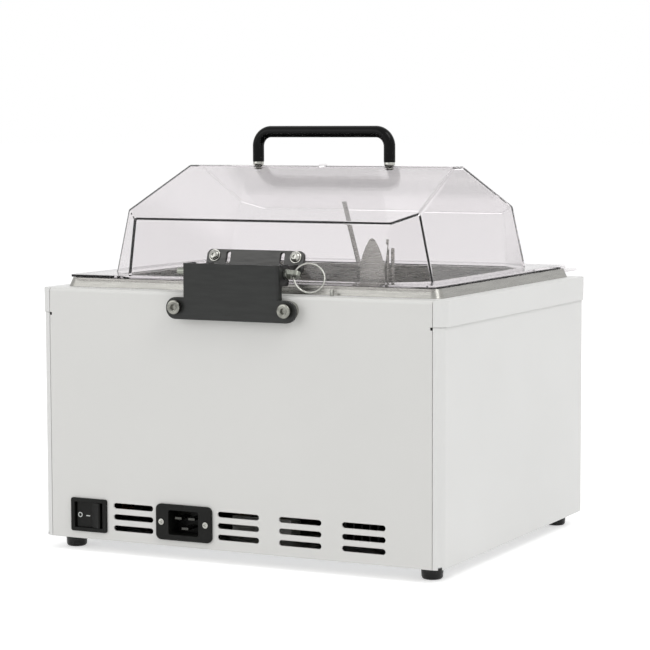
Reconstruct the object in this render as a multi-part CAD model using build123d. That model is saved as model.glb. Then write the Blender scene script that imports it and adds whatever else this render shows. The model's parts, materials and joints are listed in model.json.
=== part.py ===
from build123d import *
import math
import os

# Circulating water bath with a clear gabled lid, in millimetres. +Z is up, the rear panel faces +Y,
# and the origin is the centre of the footprint on the bench. "Depth" is measured forward from the
# rear panel's outer face, and at_depth() turns it into a Y value. Pieces are drawn with the case's
# underside at a height of 0, and write() lifts them onto the feet.

# Case
case_width = 395.0
case_depth = 339.0
foot_height = 12.0
case_height = 226.0
sheet = 1.5
corner_radius = 9.0
seam_inset = 8.5
seam_gap = 0.5
skirt_height = 22.0
skirt_proud = 1.5
skirt_wall = 1.4
top_flange_length = 14.0
bend_radius = 3.0
floor_flange = 28.0
pan_lip = 4.0
fit_gap = 0.3
hole_gap = 0.1
running_gap = 0.05

# Feet
foot_top_radius = 10.0
foot_bottom_radius = 9.0
foot_inset_x = 19.3
foot_inset_y = 24.0
foot_screw_radius = 2.0
foot_head_radius = 4.0
foot_head_height = 2.6
foot_recess = 5.0
nut_height = 3.2

# Tank and raised rim
tank_side_gap = 47.5
tank_end_gap = 39.5
tank_offset = 5.1
tank_drop = 150.0
tank_sheet = 1.2
tank_corner = 30.0
tank_floor_radius = 6.0
rim_height = 8.0
rim_side_inset = 11.5
rim_rear_depth = 22.5
rim_front_gap = 10.0
rim_slope = 3.0
rim_corner = 9.0
deck_opening_gap = 3.0
insulation_wall = 12.0
insulation_top_gap = 4.0

# Lid: flange, lip, dome
seal_height = 1.0
seal_width = 6.5
seal_inset = 0.7
flange_thickness = 2.2
flange_side_inset = 17.3
flange_rear_depth = 19.8
flange_corner = 5.0
lip_step = 5.2
lip_setback = 9.0
lip_length = 36.8
lip_corner = 8.0
dome_wall = 3.0
dome_rear_depth = 34.0
dome_side_inset = 38.0
dome_chamfer = 33.8
dome_height = 96.6
eave_height = 50.8
rear_wall_slope = 0.3016
end_wall_slope = 0.22
chamfer_slope = 0.1718
ridge_half_depth = 10.5
dome_edge_radius = 2.5
vent_nib_radius = 4.0
vent_nib_height = 1.6

# Lid handle
handle_pitch = 136.0
handle_radius = 5.4
handle_rise = 36.7
handle_bend = 13.6
ferrule_radius = 5.2
ferrule_height = 3.4
ferrule_chamfer = 0.8
handle_screw_radius = 2.5
handle_screw_depth = 12.0
handle_head_radius = 4.2
handle_head_height = 2.4

# Hinge bracket, leaf, pin and ring
hinge_x = -2.2
bracket_proud = 9.5
bracket_sheet = 3.0
bracket_width = 94.2
bracket_rise = 26.4
bracket_height = 49.1
bracket_edge_radius = 3.5
ear_reach = 16.6
ear_height = 19.2
ear_radius = 9.5
cheek_rise = 8.0
cheek_front_depth = 10.4
cheek_short_depth = -2.7
cheek_corner = 2.0
bracket_screw_reach = 6.9
bracket_screw_drop = 12.0
bracket_screw_radius = 4.0
bracket_head_radius = 6.3
bracket_head_height = 5.0
bracket_socket_radius = 3.0
bracket_socket_depth = 3.0
bracket_nut_radius = 7.0
bracket_nut_height = 6.0
spacer_radius = 8.0
backing_reach = 17.9
backing_corner = 4.0
backing_height = 18.0
backing_sheet = 3.0
pin_depth = 3.0
pin_rise = 18.5
pin_radius = 3.0
pin_tip_reach = 11.6
pin_collar_radius = 4.8
pin_collar_length = 3.4
pin_head_length = 11.6
pin_head_thickness = 4.0
pin_head_lean = 28.0
ring_hole_radius = 1.6
ring_hole_reach = 9.1
ring_radius = 13.2
ring_wire = 0.8
ring_turn = 30.0
leaf_side_reach = 1.1
leaf_gap = 4.8
leaf_height = 19.5
leaf_sheet = 3.0
leaf_corner = 5.0
leaf_screw_inset = 7.85
leaf_screw_rise = 18.8
leaf_screw_radius = 2.5
leaf_washer_radius = 5.5
leaf_washer_sheet = 1.0
leaf_head_radius = 4.6
leaf_head_height = 2.8
leaf_head_round = 1.8
leaf_socket_radius = 1.8
leaf_socket_depth = 1.6
leaf_nut_radius = 4.6
leaf_nut_height = 4.0
leaf_screw_end = 1.5
leaf_slot_inset = 21.4
leaf_slot_width = 4.5
leaf_slot_rise = 11.8
leaf_slot_length = 11.5
lug_gap = 0.3
lug_sheet = 3.0
lug_eye_radius = 6.8
lug_rise = 12.8

# Deck peg
peg_x = -87.5
peg_depth = 16.6
peg_radius = 1.75
peg_height = 6.0
peg_stem_radius = 1.2

# Rear panel fittings
switch_margin = 48.6
switch_z = 21.8
switch_width = 37.6
switch_height = 30.2
switch_bezel = 2.0
switch_body_width = 34.0
switch_body_height = 26.0
switch_body_depth = 26.0
switch_tab_pitch = 10.0
switch_tab_length = 9.0
switch_tab_width = 6.3
rocker_width = 27.6
rocker_height = 22.7
rocker_pivot_depth = 5.0
rocker_tilt = 10.0
rocker_valley_reach = 4.25
rocker_valley_offset = 3.0
rocker_root_radius = 6.0
rocker_gap = 1.0
rocker_relief = 0.8
inlet_margin = 147.4
inlet_z = 21.9
inlet_width = 56.5
inlet_height = 32.0
inlet_flange = 2.6
inlet_corner = 5.0
inlet_cavity_width = 30.5
inlet_cavity_height = 22.0
inlet_cavity_depth = 17.0
inlet_body_wall = 2.2
inlet_body_depth = 26.0
inlet_cavity_corner = 2.0
inlet_pin_width = 6.5
inlet_pin_thickness = 2.0
inlet_pin_pitch = 13.4
inlet_pin_rise = 3.7
inlet_earth_drop = 5.2
inlet_pin_recess = 3.0
inlet_tab_length = 8.0
inlet_screw_pitch = 44.7
inlet_screw_radius = 1.5
inlet_screw_head = 2.7
vent_length = 41.1
vent_height = 5.1
vent_rows = (32.1, 22.0, 11.9)
vent_starts = (74.1, 180.8, 241.4, 302.1)

# Front controls
fascia_cutout_width = 160.0
fascia_cutout_height = 44.0
fascia_lap_x = 15.0
fascia_lap_z = 9.0
fascia_drop = 86.0
fascia_proud = 3.0
fascia_corner = 6.0
boss_radius = 3.5
boss_gap_x = 6.0
boss_gap_z = 5.0
lens_gap = 8.0
lens_thickness = 1.5
board_depth_from_front = 9.5
board_thickness = 1.6
board_margin = 1.0
module_thickness = 6.0
key_names = ("set", "down", "up", "timer")
key_margin = 13.0
key_pitch = 17.0
key_lens_gap = 10.0
key_radius = 6.0
key_proud = 4.5
key_flange = 1.2
key_flange_extra = 1.2
key_travel = 1.5
key_stem_radius = 2.0
tact_size = 7.0
tact_height = 2.4

# Stirrer: motor under the tank, magnetic coupling, impeller on the tank floor
stir_wall_gap = 55.0
motor_radius = 28.0
motor_height = 30.0
motor_gap = 26.8
motor_low_gap = 6.0
motor_plate = 2.0
motor_plate_size = 84.0
motor_foot = 14.0
shaft_radius = 2.5
shaft_boss_hole = 6.0
hub_radius = 17.0
hub_height = 10.0
hub_top_gap = 1.0
hub_hole_gap = 3.0
magnet_radius = 4.0
magnet_circle = 11.0
spindle_radius = 3.0
spindle_height = 18.0
impeller_radius = 20.0
impeller_disc = 6.0
impeller_height = 14.5
impeller_hub = 6.0
blade_count = 6
blade_thickness = 2.0
clip_radius = 5.5
clip_height = 1.2
guard_radius = 27.0
guard_height = 24.0
guard_wall = 1.2
guard_mouth = 10.0
guard_slots = 8

# Heater
heater_radius = 4.0
heater_wall_gap = 40.0
heater_span = 44.0
heater_rise = 16.0
heater_front_gap = 42.6
heater_tail = 13.6
gland_radius = 6.0
gland_flange_radius = 8.5
gland_flange = 4.0
gland_nut_radius = 9.5
gland_tail = 7.0
gland_nut = 5.0

# Shelf in the tank
shelf_rise = 30.0
shelf_sheet = 1.5
shelf_edge_gap = 5.0
shelf_corner = 26.0
shelf_hole_radius = 6.0
shelf_columns = 9
shelf_rows = 7
shelf_leg_radius = 4.0
shelf_leg_inset = 22.0
lifter_x = -37.5
lifter_sheet = 1.2
lifter_width = 7.2
lifter_foot = 12.0
lifter_bend_rise = 7.5
lifter_knee_rise = 41.0
lifter_knee_lean = 11.1
lifter_top_rise = 65.2
lifter_top_lean = 15.6

# Probes and level float, on a bracket at the tank's rear wall
group_wall_gap = 15.4
group_wing_gap = 8.4
group_plate_drop = 6.0
group_sheet = 1.5
group_near = 19.5
group_far = 87.5
group_tab_drop = 26.0
probe_place = 30.3
probe_radius = 1.1
probe_rise = 38.9
probe_floor_gap = 56.0
limit_place = 25.6
limit_radius = 1.5
limit_rise = 31.7
limit_floor_gap = 46.0
guard_plate_place = 44.8
guard_plate_half = 12.0
guard_plate_shoulder_rise = 8.0
guard_plate_rise = 39.4
guard_plate_sheet = 1.0
float_place = 75.5
float_stem_radius = 2.5
float_stem_drop = 88.0
float_radius = 11.0
float_height = 22.0
float_drop = 42.0
float_travel = 15.0

# Electrical parts on the base pan
relay_side_gap = 102.5
relay_depth = 90.0
relay_length = 58.0
relay_width = 45.0
relay_height = 23.0
sink_fins = 8
sink_base = 5.0
sink_height = 24.0
sink_fin = 2.0
terminal_inlet_gap = 40.1
terminal_depth = 78.0
terminal_length = 60.0
terminal_width = 18.0
terminal_height = 16.0
terminal_ways = 6
terminal_hole_radius = 2.6
terminal_hole_depth = 6.0
earth_side_gap = 105.5
earth_depth = 40.0
earth_radius = 2.5
earth_height = 16.0
wire_radius = 1.6
wire_bend = 4.0
wire_rise = 35.0
wire_step = 5.0
wire_turn_depth = 44.0

# Derived places, from the case
deck_top = case_height
deck_low = deck_top - sheet
pan_floor = sheet
pan_top = pan_floor + sheet
half_width = case_width / 2
seam_x = half_width - seam_inset
lip_start_depth = case_depth - lip_setback
lip_end_depth = lip_start_depth + flange_thickness + lip_length
bracket_head_reach = bracket_proud + bracket_head_height
rear_y = (lip_end_depth - bracket_head_reach) / 2
front_y = rear_y - case_depth
switch_x = half_width - switch_margin
inlet_x = half_width - inlet_margin
terminal_x = inlet_x - terminal_inlet_gap
relay_x = relay_side_gap - half_width
earth_x = half_width - earth_side_gap

# Derived places, from the tank and its rim
rim_top = deck_top + rim_height
rim_front_depth = case_depth - rim_front_gap
tank_width = case_width - 2 * tank_side_gap
tank_length = case_depth - 2 * tank_end_gap
tank_centre_depth = case_depth / 2 + tank_offset
tank_floor = rim_top - tank_drop
tank_underside = tank_floor - tank_sheet
tank_wall_x = -tank_width / 2
tank_rear_wall = tank_centre_depth - tank_length / 2
tank_front_wall = tank_centre_depth + tank_length / 2
shelf_level = tank_floor + shelf_rise
stir_x = tank_width / 2 - stir_wall_gap
motor_top = tank_underside - motor_gap
heater_x = tank_wall_x + heater_wall_gap
heater_front_depth = tank_front_wall - heater_front_gap
heater_tail_depth = tank_rear_wall - heater_tail
group_depth = tank_rear_wall + group_wall_gap
group_plate_top = rim_top - group_plate_drop
probe_x = tank_wall_x + probe_place
limit_x = tank_wall_x + limit_place
guard_plate_x = tank_wall_x + guard_plate_place
float_x = tank_wall_x + float_place
float_rest = group_plate_top - float_drop
wire_level = pan_top + wire_rise

# Derived places, of the lid and its hinge
flange_low = rim_top + seal_height
flange_top = flange_low + flange_thickness
dome_top = flange_top + dome_height
rear_lean = math.degrees(math.atan(rear_wall_slope))
ear_span = bracket_width + 2 * ear_reach
bracket_screw_pitch = bracket_width + 2 * bracket_screw_reach
backing_width = bracket_width + 2 * backing_reach
pin_tip = bracket_width / 2 + pin_tip_reach
leaf_width = bracket_width + 2 * leaf_side_reach
leaf_screw_pitch = leaf_width - 2 * leaf_screw_inset
leaf_slot_pitch = leaf_width - 2 * leaf_slot_inset
bracket_top = deck_top + bracket_rise
bracket_bottom = bracket_top - bracket_height
bracket_screw_height = deck_top - bracket_screw_drop
cheek_low = deck_top + cheek_rise
pin_height = deck_top + pin_rise
leaf_low = flange_top + leaf_gap
leaf_top = leaf_low + leaf_height
leaf_screw_height = flange_top + leaf_screw_rise
leaf_slot_low = flange_top + leaf_slot_rise

# Derived places, of the front controls
fascia_z = deck_top - fascia_drop
fascia_width = fascia_cutout_width + 2 * fascia_lap_x
fascia_height = fascia_cutout_height + 2 * fascia_lap_z
boss_pitch_x = fascia_cutout_width - 2 * boss_gap_x
boss_pitch_z = fascia_cutout_height - 2 * boss_gap_z
key_first_x = fascia_cutout_width / 2 - key_margin - 3 * key_pitch
lens_left = lens_gap - fascia_cutout_width / 2
lens_right = key_first_x - key_radius - key_lens_gap
lens_width = lens_right - lens_left
lens_x = (lens_left + lens_right) / 2
lens_height = fascia_cutout_height - 2 * lens_gap


def at_depth(depth):
    """Y of a point this far forward of the rear panel's outer face."""
    return rear_y - depth


def at_u(u):
    """X of a point this far from the case's left side as seen from behind."""
    return half_width - u


def block(x0, x1, y0, y1, z0, z1):
    """A block between two corners."""
    centre = Pos((x0 + x1) / 2, (y0 + y1) / 2, (z0 + z1) / 2)
    return centre * Box(abs(x1 - x0), abs(y1 - y0), abs(z1 - z0))


def rounded(x0, x1, y0, y1, z0, z1, radius):
    """A block whose upright edges are rounded."""
    outline = RectangleRounded(abs(x1 - x0), abs(y1 - y0), radius)
    return Pos((x0 + x1) / 2, (y0 + y1) / 2, z0) * extrude(outline, z1 - z0)


def rod(start, direction, radius, length):
    """A round bar from start along direction."""
    bar = Cylinder(radius, length, align=(Align.CENTER, Align.CENTER, Align.MIN))
    return Plane(origin=start, z_dir=direction).location * bar


def upright(x, y, z0, z1, radius):
    """A round bar along Z."""
    return rod((x, y, z0), (0, 0, 1), radius, z1 - z0)


def forward_prism(outline, y_rear, thickness):
    """An outline drawn in X and Z, extruded forward from y_rear."""
    plane = Plane(origin=(0, y_rear, 0), x_dir=(1, 0, 0), z_dir=(0, -1, 0))
    return plane.location * extrude(outline, thickness)


def sideways_prism(outline, x_low, thickness):
    """An outline drawn in Y and Z, extruded towards +X from x_low."""
    plane = Plane(origin=(x_low, 0, 0), x_dir=(0, 1, 0), z_dir=(1, 0, 0))
    return plane.location * extrude(outline, thickness)


def hexagon(radius):
    return RegularPolygon(radius, 6)


def foot_places():
    """Centres of the four feet."""
    rear = at_depth(foot_inset_y)
    front = front_y + foot_inset_y
    side = half_width - foot_inset_x
    return [(-side, rear), (side, rear), (-side, front), (side, front)]


def foot_holes(z0, z1):
    places = foot_places()
    radius = foot_screw_radius + hole_gap
    return [upright(x, y, z0, z1, radius) for x, y in places]


def base_pan():
    side = half_width - sheet - fit_gap
    rear = at_depth(sheet + fit_gap)
    front = front_y + sheet + fit_gap
    radius = corner_radius - sheet - fit_gap
    body = rounded(-side, side, front, rear, pan_floor, pan_top + pan_lip, radius)
    room = rounded(
        -side + sheet, side - sheet, front + sheet, rear - sheet,
        pan_top, pan_top + pan_lip + 1, radius - sheet,
    )
    return body - room - foot_holes(pan_floor - 1, pan_top + 1)


def case_wrap():
    """Front and both sides in one sheet, returned round the rear corners to the seams."""
    rear = rear_y
    top = deck_low - fit_gap
    shell = rounded(-half_width, half_width, front_y, rear, 0, top, corner_radius)
    inner = half_width - sheet
    room = rounded(
        -inner, inner, front_y + sheet, rear - sheet,
        pan_floor, top + 1, corner_radius - sheet,
    )
    shell -= room
    window = half_width - floor_flange
    shell -= block(
        -window, window, front_y + floor_flange, rear - floor_flange, -1, pan_floor + 1,
    )
    shell -= block(
        -inner, inner, rear - floor_flange - seam_gap, rear - sheet, -1, pan_floor + 1,
    )
    shell -= block(-seam_x, seam_x, rear - sheet * 2, rear + 1, -1, top + 1)
    skirt_bottom = deck_top - skirt_height - fit_gap
    shell -= block(
        -half_width - 1, half_width + 1, rear - corner_radius - skirt_proud - hole_gap, rear + 1,
        skirt_bottom, top + 1,
    )
    shell -= block(
        -fascia_cutout_width / 2, fascia_cutout_width / 2, front_y - 1, front_y + sheet + 1,
        fascia_z - fascia_cutout_height / 2, fascia_z + fascia_cutout_height / 2,
    )
    return shell - foot_holes(-1, pan_floor + 1)


def rear_profile():
    """The rear panel's section: floor flange, upright wall and top flange, bent with one radius."""
    wall = rear_y - sheet
    tip = rear_y - top_flange_length
    toe = rear_y - floor_flange
    line = Polyline(
        (toe, 0), (rear_y, 0), (rear_y, deck_top), (tip, deck_top),
        (tip, deck_low), (wall, deck_low), (wall, pan_floor), (toe, pan_floor), close=True,
    )
    face = make_face(line)
    outer = face.vertices().sort_by_distance((rear_y, deck_top, 0))[0]
    face = fillet(outer, bend_radius)
    inner = face.vertices().sort_by_distance((wall, deck_low, 0))[0]
    return fillet(inner, bend_radius - sheet)


def vent_slots():
    slots = []
    for start in vent_starts:
        for height in vent_rows:
            slot = Pos(at_u(start + vent_length / 2), height) * SlotOverall(vent_length, vent_height)
            slots.append(forward_prism(slot, rear_y + 1, sheet + 2))
    return slots


def bracket_screw_xs():
    return [hinge_x - bracket_screw_pitch / 2, hinge_x + bracket_screw_pitch / 2]


def rear_panel():
    half = seam_x - seam_gap
    panel = sideways_prism(rear_profile(), -half, half * 2)
    panel -= vent_slots()
    depth = sheet + 2
    switch_hole = Pos(switch_x, switch_z) * Rectangle(
        switch_body_width + 2 * fit_gap, switch_body_height + 2 * fit_gap
    )
    panel -= forward_prism(switch_hole, rear_y + 1, depth)
    inlet_hole = Pos(inlet_x, inlet_z) * Rectangle(
        inlet_cavity_width + 2 * inlet_body_wall + 2 * fit_gap,
        inlet_cavity_height + 2 * inlet_body_wall + 2 * fit_gap,
    )
    panel -= forward_prism(inlet_hole, rear_y + 1, depth)
    for side in (-1, 1):
        x = inlet_x + side * inlet_screw_pitch / 2
        panel -= rod((x, rear_y + 1, inlet_z), (0, -1, 0), inlet_screw_radius + hole_gap, depth)
        relief = deck_top - skirt_height
        panel -= block(
            side * (half - 2), side * (half + 1), rear_y - sheet - 1, rear_y + 1,
            relief - 2.5, relief,
        )
    for x in bracket_screw_xs():
        start = (x, rear_y + 1, bracket_screw_height)
        panel -= rod(start, (0, -1, 0), bracket_screw_radius + hole_gap, depth)
    return panel - foot_holes(-1, pan_floor + 1)


def top_deck():
    """Top sheet with its turned-down skirt, notched behind for the rear panel's flange."""
    side = half_width + skirt_proud
    front = front_y - skirt_proud
    radius = corner_radius + skirt_proud
    low = deck_top - skirt_height
    deck = rounded(-side, side, front, rear_y, low, deck_top, radius)
    deck -= rounded(
        -side + skirt_wall, side - skirt_wall, front + skirt_wall, rear_y - skirt_wall,
        low - 1, deck_low, radius - skirt_wall,
    )
    deck -= block(
        -seam_x, seam_x, at_depth(top_flange_length + seam_gap), rear_y + 1, low - 1, deck_top + 1
    )
    reach = tank_sheet + deck_opening_gap
    deck -= rounded(
        -tank_width / 2 - reach, tank_width / 2 + reach,
        at_depth(tank_centre_depth + tank_length / 2 + reach),
        at_depth(tank_centre_depth - tank_length / 2 - reach),
        deck_low - 1, deck_top + 1, tank_corner + reach,
    )
    peg_hole = peg_stem_radius + hole_gap
    return deck - upright(peg_x, at_depth(peg_depth), deck_low - 1, deck_top + 1, peg_hole)


def feet():
    pads = []
    for x, y in foot_places():
        pad = Pos(x, y, -foot_height / 2) * Cone(foot_bottom_radius, foot_top_radius, foot_height)
        seat = foot_recess - foot_height
        pad -= upright(x, y, -foot_height - 1, seat, foot_head_radius + fit_gap)
        pad -= upright(x, y, seat - 1, 1, foot_screw_radius + hole_gap)
        pads.append(pad)
    return pads


def foot_screws():
    pieces = []
    for x, y in foot_places():
        seat = foot_recess - foot_height
        head = upright(x, y, seat - foot_head_height, seat, foot_head_radius)
        shank = upright(x, y, seat, pan_top + nut_height + 1, foot_screw_radius)
        nut = Pos(x, y, pan_top) * extrude(hexagon(foot_head_radius), nut_height)
        nut -= upright(x, y, pan_top - 1, pan_top + nut_height + 1, foot_screw_radius + hole_gap)
        pieces += [head + shank, nut]
    return pieces


def tank_tube(extra, floor, top, floor_radius):
    """The bath's own block, grown by extra on each side, with a rounded floor edge."""
    side = tank_width / 2 + extra
    front = at_depth(tank_centre_depth + tank_length / 2 + extra)
    rear = at_depth(tank_centre_depth - tank_length / 2 - extra)
    tube = rounded(-side, side, front, rear, floor, top, tank_corner + extra)
    return fillet(tube.faces().sort_by(Axis.Z)[0].edges(), floor_radius)


def rim_loft(inward, top):
    """The sloping collar, taken in by inward on every side."""
    side = half_width - rim_side_inset - inward
    rear = at_depth(rim_rear_depth + inward)
    front = at_depth(rim_front_depth - inward)
    centre = Pos(0, (rear + front) / 2, 0)
    slope = rim_slope * (top - deck_top) / rim_height
    low = RectangleRounded(2 * side, rear - front, rim_corner - inward)
    high = RectangleRounded(
        2 * (side - slope), rear - front - 2 * slope, rim_corner - inward - slope / 2
    )
    return loft([centre * Pos(0, 0, deck_top) * low, centre * Pos(0, 0, top) * high])


def tank():
    outer = tank_tube(tank_sheet, tank_underside, rim_top, tank_floor_radius + tank_sheet)
    inner = tank_tube(0, tank_floor, rim_top + 1, tank_floor_radius)
    hollow = rim_loft(tank_sheet, rim_top - tank_sheet)
    body = rim_loft(0, rim_top) - hollow + outer - inner
    for x in heater_xs():
        hole = gland_radius + hole_gap
        start = (x, at_depth(tank_rear_wall - 3), heater_z())
        body -= rod(start, (0, -1, 0), hole, 6)
    return body


def heater_xs():
    return [heater_x, heater_x + heater_span]


def heater_z():
    return tank_floor + heater_rise


def tank_insulation():
    gap = tank_sheet + fit_gap
    outer = gap + insulation_wall
    low = tank_underside - fit_gap - insulation_wall
    top = deck_low - insulation_top_gap
    jacket = tank_tube(outer, low, top, tank_floor_radius)
    jacket -= tank_tube(gap, tank_underside - fit_gap, top + 1, tank_floor_radius + gap)
    hole = hub_radius + hub_hole_gap
    jacket -= upright(stir_x, at_depth(tank_centre_depth), low - 1, tank_underside + 1, hole)
    nut = gland_nut_radius + 2
    for x in heater_xs():
        start = (x, at_depth(tank_rear_wall - outer - 1), heater_z())
        jacket -= rod(start, (0, -1, 0), nut, outer)
    return jacket


def lid_seal():
    """Soft strip under the lid's flange, lying on the rim's flat top."""
    side = half_width - flange_side_inset - seal_inset
    rear = at_depth(rim_rear_depth + rim_slope + seal_inset)
    front = at_depth(rim_front_depth - rim_slope - seal_inset)
    ring = rounded(-side, side, front, rear, rim_top, flange_low, flange_corner)
    inner = side - seal_width
    ring -= rounded(
        -inner, inner, front + seal_width, rear - seal_width,
        rim_top - 1, flange_low + 1, flange_corner / 2,
    )
    return ring


def dome_planes(inset):
    """The dome's outer planes, moved inward by inset, as (point, outward normal)."""
    side = half_width - dome_side_inset
    half_depth = tank_centre_depth - dome_rear_depth
    corner_x = side - dome_chamfer / 2
    corner_depth = half_depth - dome_chamfer / 2
    roof_rise = dome_height - eave_height
    roof_run = half_depth - rear_wall_slope * eave_height - ridge_half_depth
    roof_slope = roof_run / roof_rise
    middle = at_depth(tank_centre_depth)
    planes = [((0, middle, dome_top), (0, 0, 1))]
    for s in (-1, 1):
        planes.append(((0, middle + s * half_depth, flange_top), (0, s, rear_wall_slope)))
        planes.append(((s * side, middle, flange_top), (s, 0, end_wall_slope)))
        ridge = (0, middle + s * ridge_half_depth, dome_top)
        planes.append((ridge, (0, s, roof_slope)))
        for t in (-1, 1):
            corner = (s * corner_x, middle + t * corner_depth, flange_top)
            lean = chamfer_slope * math.sqrt(2)
            planes.append((corner, (s, t, lean)))
    moved = []
    for point, normal in planes:
        direction = Vector(*normal).normalized()
        moved.append((Vector(*point) - direction * inset, direction))
    return moved


def dome_block(inset, low):
    """The gabled dome as a solid, its faces moved inward by inset."""
    middle = at_depth(tank_centre_depth)
    solid = block(-half_width, half_width, middle - half_width, middle + half_width, low, dome_top + 1)
    for point, direction in dome_planes(inset):
        solid = split(solid, bisect_by=Plane(origin=point, z_dir=direction), keep=Keep.BOTTOM)
    edges = [e for e in solid.edges() if e.center().Z > low + 1]
    return fillet(edges, dome_edge_radius + dome_wall / 2 - inset)


def leaf_plane():
    """A plane on the dome's rear wall: X across, Y up the slope, Z out of the wall."""
    wall = Vector(0, 1, rear_wall_slope).normalized()
    return Plane(origin=(hinge_x, at_depth(dome_rear_depth), flange_top), x_dir=(-1, 0, 0), z_dir=wall)


def up_slope(height):
    """Distance up the rear wall from the flange's top to this height."""
    return (height - flange_top) / math.cos(math.radians(rear_lean))


def leaf_rod(x, height, radius, start, length):
    """A round bar square to the rear wall, from start outside it and outward."""
    bar = Cylinder(radius, length, align=(Align.CENTER, Align.CENTER, Align.MIN))
    return leaf_plane().location * Pos(x, up_slope(height), start) * bar


def leaf_screw_offsets():
    return [-leaf_screw_pitch / 2, leaf_screw_pitch / 2]


def lid_shell():
    side = half_width - flange_side_inset
    rear = at_depth(flange_rear_depth)
    middle = at_depth(lip_start_depth + flange_thickness)
    front = at_depth(lip_end_depth)
    flange = rounded(-side, side, middle - flange_corner, rear, flange_low, flange_top, flange_corner)
    flange = flange - block(
        -side - 1, side + 1, middle - flange_corner - 1, middle, flange_low - 1, flange_top + 1
    )
    step = lip_step + flange_thickness
    lip_low = flange_top - step
    riser = block(-side, side, middle, middle + flange_thickness, lip_low, flange_top)
    lip = rounded(
        -side, side, front, middle + lip_corner, lip_low, lip_low + flange_thickness, lip_corner
    )
    lip = lip - block(
        -side - 1, side + 1, middle + flange_thickness, middle + lip_corner + 1,
        lip_low - 1, flange_top + 1,
    )
    shell = flange + riser + lip + dome_block(0, flange_low)
    middle_y = at_depth(tank_centre_depth)
    nib_top = dome_top + vent_nib_height
    shell = shell + upright(0, middle_y, dome_top - 1, nib_top, vent_nib_radius)
    shell = shell - dome_block(dome_wall, flange_low - 1)
    for s in (-1, 1):
        x = s * handle_pitch / 2
        hole = handle_screw_radius + hole_gap
        shell -= upright(x, middle_y, dome_top - dome_wall - 1, dome_top + 1, hole)
    for x in leaf_screw_offsets():
        hole = leaf_screw_radius + hole_gap
        shell -= leaf_rod(x, leaf_screw_height, hole, -dome_wall - 2, dome_wall + 4)
    return shell


def lid_handle():
    half = handle_pitch / 2
    y = at_depth(tank_centre_depth)
    low = dome_top + ferrule_height
    high = dome_top + handle_rise - handle_radius
    path = FilletPolyline(
        (-half, y, low), (-half, y, high), (half, y, high), (half, y, low), radius=handle_bend
    )
    bow = sweep(Plane(origin=(-half, y, low), z_dir=(0, 0, 1)) * Circle(handle_radius), path)
    for s in (-1, 1):
        depth = low + handle_screw_depth
        bow -= upright(s * half, y, low - 1, depth, handle_screw_radius + hole_gap)
    return bow


def handle_ferrules():
    """Two plain collars between the handle's legs and the roof."""
    collars = []
    y = at_depth(tank_centre_depth)
    top = dome_top + ferrule_height
    for s in (-1, 1):
        x = s * handle_pitch / 2
        collar = upright(x, y, dome_top, top, ferrule_radius)
        foot = collar.edges().sort_by(Axis.Z)[0]
        collar = chamfer(foot, ferrule_chamfer)
        collar -= upright(x, y, dome_top - 1, top + 1, handle_screw_radius + hole_gap)
        collars.append(collar)
    return collars


def handle_screws():
    screws = []
    y = at_depth(tank_centre_depth)
    under = dome_top - dome_wall
    for s in (-1, 1):
        x = s * handle_pitch / 2
        head = upright(x, y, under - handle_head_height, under, handle_head_radius)
        tip = dome_top + ferrule_height + handle_screw_depth - 1
        screws.append(head + upright(x, y, under, tip, handle_screw_radius))
    return screws


def bracket_face_outline():
    """Face of the channel with its two low ears."""
    width = Pos(hinge_x, (bracket_bottom + bracket_top) / 2) * Rectangle(
        bracket_width, bracket_top - bracket_bottom
    )
    ears = Pos(hinge_x, bracket_bottom + ear_height / 2) * RectangleRounded(
        ear_span, ear_height, ear_radius
    )
    return width + ears


def cheek_outline():
    """Side of the channel: short below, long above, where it carries the pin."""
    back = rear_y + bracket_proud
    short = at_depth(cheek_short_depth)
    long = at_depth(cheek_front_depth)
    low = bracket_bottom + ear_height
    line = Polyline(
        (back, low), (back, bracket_top), (long, bracket_top), (long, cheek_low),
        (short, cheek_low), (short, low), close=True,
    )
    face = make_face(line)
    corners = face.vertices().sort_by_distance((long, (bracket_top + cheek_low) / 2, 0))[:2]
    return fillet(corners, cheek_corner)


def hinge_bracket():
    back = rear_y + bracket_proud
    body = forward_prism(bracket_face_outline(), back, bracket_sheet)
    left = hinge_x + bracket_width / 2
    right = hinge_x - bracket_width / 2
    body += sideways_prism(cheek_outline(), left - bracket_sheet, bracket_sheet)
    body += sideways_prism(cheek_outline(), right, bracket_sheet)
    upper = [
        e for e in body.edges().filter_by(Axis.Z)
        if abs(e.center().Y - back) < 0.01 and e.center().Z > bracket_bottom + ear_height
    ]
    body = fillet(upper, bracket_edge_radius - 1)
    pin = (right - 1, at_depth(pin_depth), pin_height)
    body -= rod(pin, (1, 0, 0), pin_radius + running_gap, bracket_width + 2)
    for x in bracket_screw_xs():
        start = (x, back + 1, bracket_screw_height)
        body -= rod(start, (0, -1, 0), bracket_screw_radius + hole_gap, bracket_sheet + 2)
    return body


def bracket_spacers():
    pieces = []
    for x in bracket_screw_xs():
        length = bracket_proud - bracket_sheet
        start = (x, rear_y, bracket_screw_height)
        bush = rod(start, (0, 1, 0), spacer_radius, length)
        pieces.append(bush - rod(start, (0, 1, 0), bracket_screw_radius + hole_gap, length))
    return pieces


def backing_plate():
    """Stiffener inside the rear panel, which takes the bracket's screws."""
    outline = Pos(hinge_x, bracket_screw_height) * RectangleRounded(
        backing_width, backing_height, backing_corner
    )
    plate = forward_prism(outline, rear_y - sheet, backing_sheet)
    for x in bracket_screw_xs():
        start = (x, rear_y, bracket_screw_height)
        plate -= rod(start, (0, -1, 0), bracket_screw_radius + hole_gap, sheet + backing_sheet + 1)
    return plate


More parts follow.
